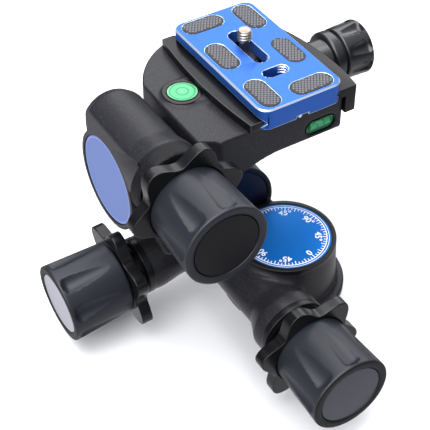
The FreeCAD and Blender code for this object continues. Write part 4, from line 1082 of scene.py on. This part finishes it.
# tube level: stadium frame, green tube across it with two reading lines and a bubble
tubeLook = {
    "segments": 48, "wall": 0.4, "depth": 3.0, "edge": 0.25, "edgeSteps": 2, "up": 0.5,
    "windowDepth": 1.1, "lap": 0.1,
    "tubeRadius": 2.2, "tubeInset": 1.9, "tubeEdge": 0.5, "sunk": 0.1, "steps": 64,
    "lines": (-1.7, 1.7), "line": 0.45, "lineDepth": 0.2, "lineRise": 0.05,
    "bubbleLength": 1.8, "bubbleRadius": 0.8, "bubblePlace": -0.6, "bubbleOut": 0.62,
}
bubbleSides = (32, 16)


def levelPiece(name, work, material, place, kind="turned", stands=()):
    finishShape(name, work, material, "platform_stage", place, sharpPast[kind], stands)


def levelBubble(name, place, size):
    work = bmesh.new()
    around, up = bubbleSides
    bmesh.ops.create_uvsphere(work, u_segments=around, v_segments=up, radius=1)
    levelPiece(name, work, bubbleGlow, place @ Matrix.Diagonal((*size, 1)), "domed")


def roundLevel():
    low, high = (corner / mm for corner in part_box("round_level"))
    centre = (low + high) / 2
    radius = (high.x - low.x) / 2
    depth = high.z - low.z
    steps = roundLook["steps"]
    dome = roundLook["dome"]
    place = at(centre.x, centre.y, low.z)
    inner = radius - roundLook["bezel"]
    bezel = turned(rounded(band(inner, radius, 0, depth), roundLook["edge"]), steps)
    levelPiece("round_level_bezel", bezel, levelFrame, place, stands=["round_level"])
    heights = [height - low.z for height in roundLook["collarHeight"]]
    collar = turned(rounded(band(*roundLook["collar"], *heights), roundLook["collarEdge"]), steps)
    levelPiece("round_level_collar", collar, levelFrame, place)
    top = depth - roundLook["sunk"]
    turns = [math.radians(angle) for angle in range(
        roundLook["domeStep"], 90, roundLook["domeStep"])]
    profile = [(0, 0), (inner, 0), (inner, top - dome)]
    profile += [(inner * math.cos(turn), top - dome * (1 - math.sin(turn))) for turn in turns]
    levelPiece(
        "round_level_vial", turned(profile + [(0, top)], steps), levelLiquid, place, "domed")

    def skin(away):
        return top - dome * (1 - math.sqrt(max(0.0, 1 - (away / inner) ** 2)))

    half = roundLook["line"] / 2
    lines = turnedBands([
        (away - half, away + half, skin(away) - roundLook["lineDepth"],
         skin(away) + roundLook["lineRise"]) for away in roundLook["rings"]],
        roundLook["lineSteps"])
    levelPiece("round_level_lines", lines, levelLine, place)
    # a paler ring of painted highlight just inside the bezel
    away = inner - roundLook["rim"]
    innerRise, outerRise = roundLook["rimRise"]
    rim = turned([
        (away, skin(away) - roundLook["rimDepth"]),
        (inner, skin(inner) - roundLook["rimDepth"]), (inner, skin(inner) + outerRise),
        (away, skin(away) + innerRise)], steps)
    levelPiece("round_level_rim_highlight", rim, levelRimHighlight, place)
    reach = roundLook["bubbleRadius"] * mm
    levelBubble(
        "round_level_bubble", place @ at(0, 0, top - roundLook["sunk"]),
        (reach, reach, reach * roundLook["bubbleFlat"]))


def stadiumLoop(work, length, width, height):
    # flat stadium face in the XY plane, long way along X
    made = bmesh.ops.create_circle(
        work, cap_ends=True, segments=tubeLook["segments"], radius=width / 2)
    for vert in made["verts"]:
        vert.co.x += math.copysign((length - width) / 2, vert.co.x)
        vert.co.z = height
    return made["verts"][0].link_faces[0]


def extrudeUp(work, faces, height):
    made = bmesh.ops.extrude_face_region(work, geom=faces)
    raised = [item for item in made["geom"] if isinstance(item, bmesh.types.BMVert)]
    bmesh.ops.translate(work, vec=(0, 0, height * mm), verts=raised)


def tubeFrame(length, width, wall):
    work = bmesh.new()
    face = stadiumLoop(work, length, width, -tubeLook["depth"] * mm)
    bmesh.ops.inset_region(
        work, faces=[face], thickness=wall, use_boundary=True, use_even_offset=True)
    bmesh.ops.delete(work, geom=[face], context="FACES")
    extrudeUp(work, work.faces[:], tubeLook["depth"])
    rim = [edge for edge in work.edges
           if all(abs(vert.co.z) < merge["spun"] for vert in edge.verts)
           and any(face.normal.z < tubeLook["up"] for face in edge.link_faces)]
    work.normal_update()
    breakEdges(work, rim, tubeLook["edge"], tubeLook["edgeSteps"])
    return work


def tubeLevel():
    low, high = (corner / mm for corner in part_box("tube_level"))
    centre = (low + high) / 2
    length = (high.x - low.x) * mm
    width = (high.z - low.z) * mm
    wall = tubeLook["wall"] * mm
    # local Z points out of the platform's front
    place = at(centre.x, low.y, centre.z) @ Matrix.Rotation(math.pi / 2, 4, "X")
    levelPiece(
        "tube_level_frame", tubeFrame(length, width, wall), levelFrame, place,
        stands=["tube_level"])
    window = bmesh.new()
    inside = 2 * wall - tubeLook["lap"] * mm
    face = stadiumLoop(window, length - inside, width - inside, -tubeLook["depth"] * mm)
    extrudeUp(window, [face], tubeLook["depth"] - tubeLook["windowDepth"])
    # the window behind the tube carries the painted shade
    levelPiece("tube_level_window", window, levelWellShade, place)
    half = length / 2 / mm - tubeLook["wall"] - tubeLook["tubeInset"]
    radius = tubeLook["tubeRadius"]
    lift = -(radius + tubeLook["sunk"])
    along = at(0, 0, lift) @ Matrix.Rotation(math.pi / 2, 4, "Y")
    tube = turned(rounded(band(0, radius, -half, half), tubeLook["tubeEdge"]), tubeLook["steps"])
    levelPiece("tube_level_vial", tube, levelLiquid, place @ along, "soft")
    reach = tubeLook["line"] / 2
    lines = turnedBands([
        (radius - tubeLook["lineDepth"], radius + tubeLook["lineRise"], station - reach,
         station + reach) for station in tubeLook["lines"] + (-half, half)],
        tubeLook["steps"])
    levelPiece("tube_level_lines", lines, levelLine, place @ along)
    out = radius * tubeLook["bubbleOut"]
    levelBubble(
        "tube_level_bubble", place @ at(tubeLook["bubblePlace"], out, lift + out),
        (tubeLook["bubbleLength"] * mm, tubeLook["bubbleRadius"] * mm,
         tubeLook["bubbleRadius"] * mm))


roundLevel()
tubeLevel()
print("levels made")


# CAD nodes that show as they are
plainNodes = {
    # the tilt disc's blue carries painted light
    "dial_blue": dialAnodised, "steel": stainless, "bronze": bronze, "disc_blue": tiltDiscPaintedLight,
}


def dressNodes():
    for nodeName, node in frame["nodes"].items():
        if node.hide_render:
            continue
        node.data.materials.clear()
        node.data.materials.append(plainNodes[slotOf(nodeName)])
    # the roll disc gets its painted shade
    frame["nodes"]["roll_disc"].data.materials[0] = rollDiscPaintedShade


dressNodes()
print("CAD nodes dressed")


# pale paper under a soft overhead light; the world is bright above and below and dark at
# the sides, as in a studio with black walls, so that the black metal keeps its depth
studio = {
    "floorColour": "f6f6f8", "floorRoughness": 0.9, "floorSize": 6.0, "floorDrop": 0.0002,
    "sky": [(0.0, "ececf2"), (0.34, "dedee4"), (0.46, "4a4a50"), (0.54, "26272c"),
            (0.72, "73767d"), (1.0, "f4f8ff")],
    "target": (0, 0, 0.05),
    # each lamp's place, size and power
    "lamps": {
        "overheadLamp": ((-0.15, 0.1, 1.0), 0.8, 10.5),
        "backLamp": ((0.46, 0.75, 0.82), 0.9, 7.0),
        "keyLamp": ((-0.75, -0.3, 0.75), 0.9, 9.0),
        "leftLamp": ((-0.95, -0.2, 0.25), 0.5, 2.6),
        "rightLamp": ((0.8, 0.35, 0.4), 0.5, 2.0),
        "frontLamp": ((-0.15, -0.95, 0.5), 1.0, 1.0),
    },
}


def makeWorld():
    world = bpy.data.worlds.new("studio")
    world.use_nodes = True
    tree = world.node_tree
    direction = addNode(tree, "ShaderNodeTexCoord").outputs["Generated"]
    parts = addNode(tree, "ShaderNodeSeparateXYZ", {"Vector": direction})
    height = addNode(tree, "ShaderNodeMapRange", {
        "Value": parts.outputs["Z"], "From Min": -1.0, "From Max": 1.0})
    ramp = addNode(tree, "ShaderNodeValToRGB", {"Fac": height.outputs["Result"]})
    # the ramp comes with two bands
    bands = ramp.color_ramp.elements
    for number, (share, colour) in enumerate(studio["sky"]):
        found = bands[number] if number < 2 else bands.new(share)
        found.position = share
        found.color = linear(colour)
    tree.links.new(ramp.outputs["Color"], tree.nodes["Background"].inputs["Color"])
    bpy.context.scene.world = world


def makeFloor():
    low = min(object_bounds()[0].z, 0.0) - studio["floorDrop"]
    work = bmesh.new()
    bmesh.ops.create_grid(work, x_segments=1, y_segments=1, size=studio["floorSize"] / 2)
    bmesh.ops.translate(work, vec=(0, 0, low), verts=work.verts)
    # plain paper: matt, cool white
    paper = newMaterial("paleStudioPaper", {
        "colour": studio["floorColour"], "roughness": studio["floorRoughness"]})[0]
    floor = addObject("floor", meshOf("floor", work), [paper])
    floor.visible_diffuse = False
    floor.visible_glossy = False


def makeLamps():
    for name, (place, size, power) in studio["lamps"].items():
        data = bpy.data.lights.new(name, "AREA")
        data.size = size
        data.energy = power
        light = addObject(name, data)
        way = Vector(studio["target"]) - Vector(place)
        aim = way.to_track_quat("-Z", "Y").to_matrix().to_4x4()
        light.matrix_world = Matrix.Translation(place) @ aim


makeWorld()
makeFloor()
makeLamps()
bpy.context.scene.view_settings.view_transform = "Standard"
print("studio lit")
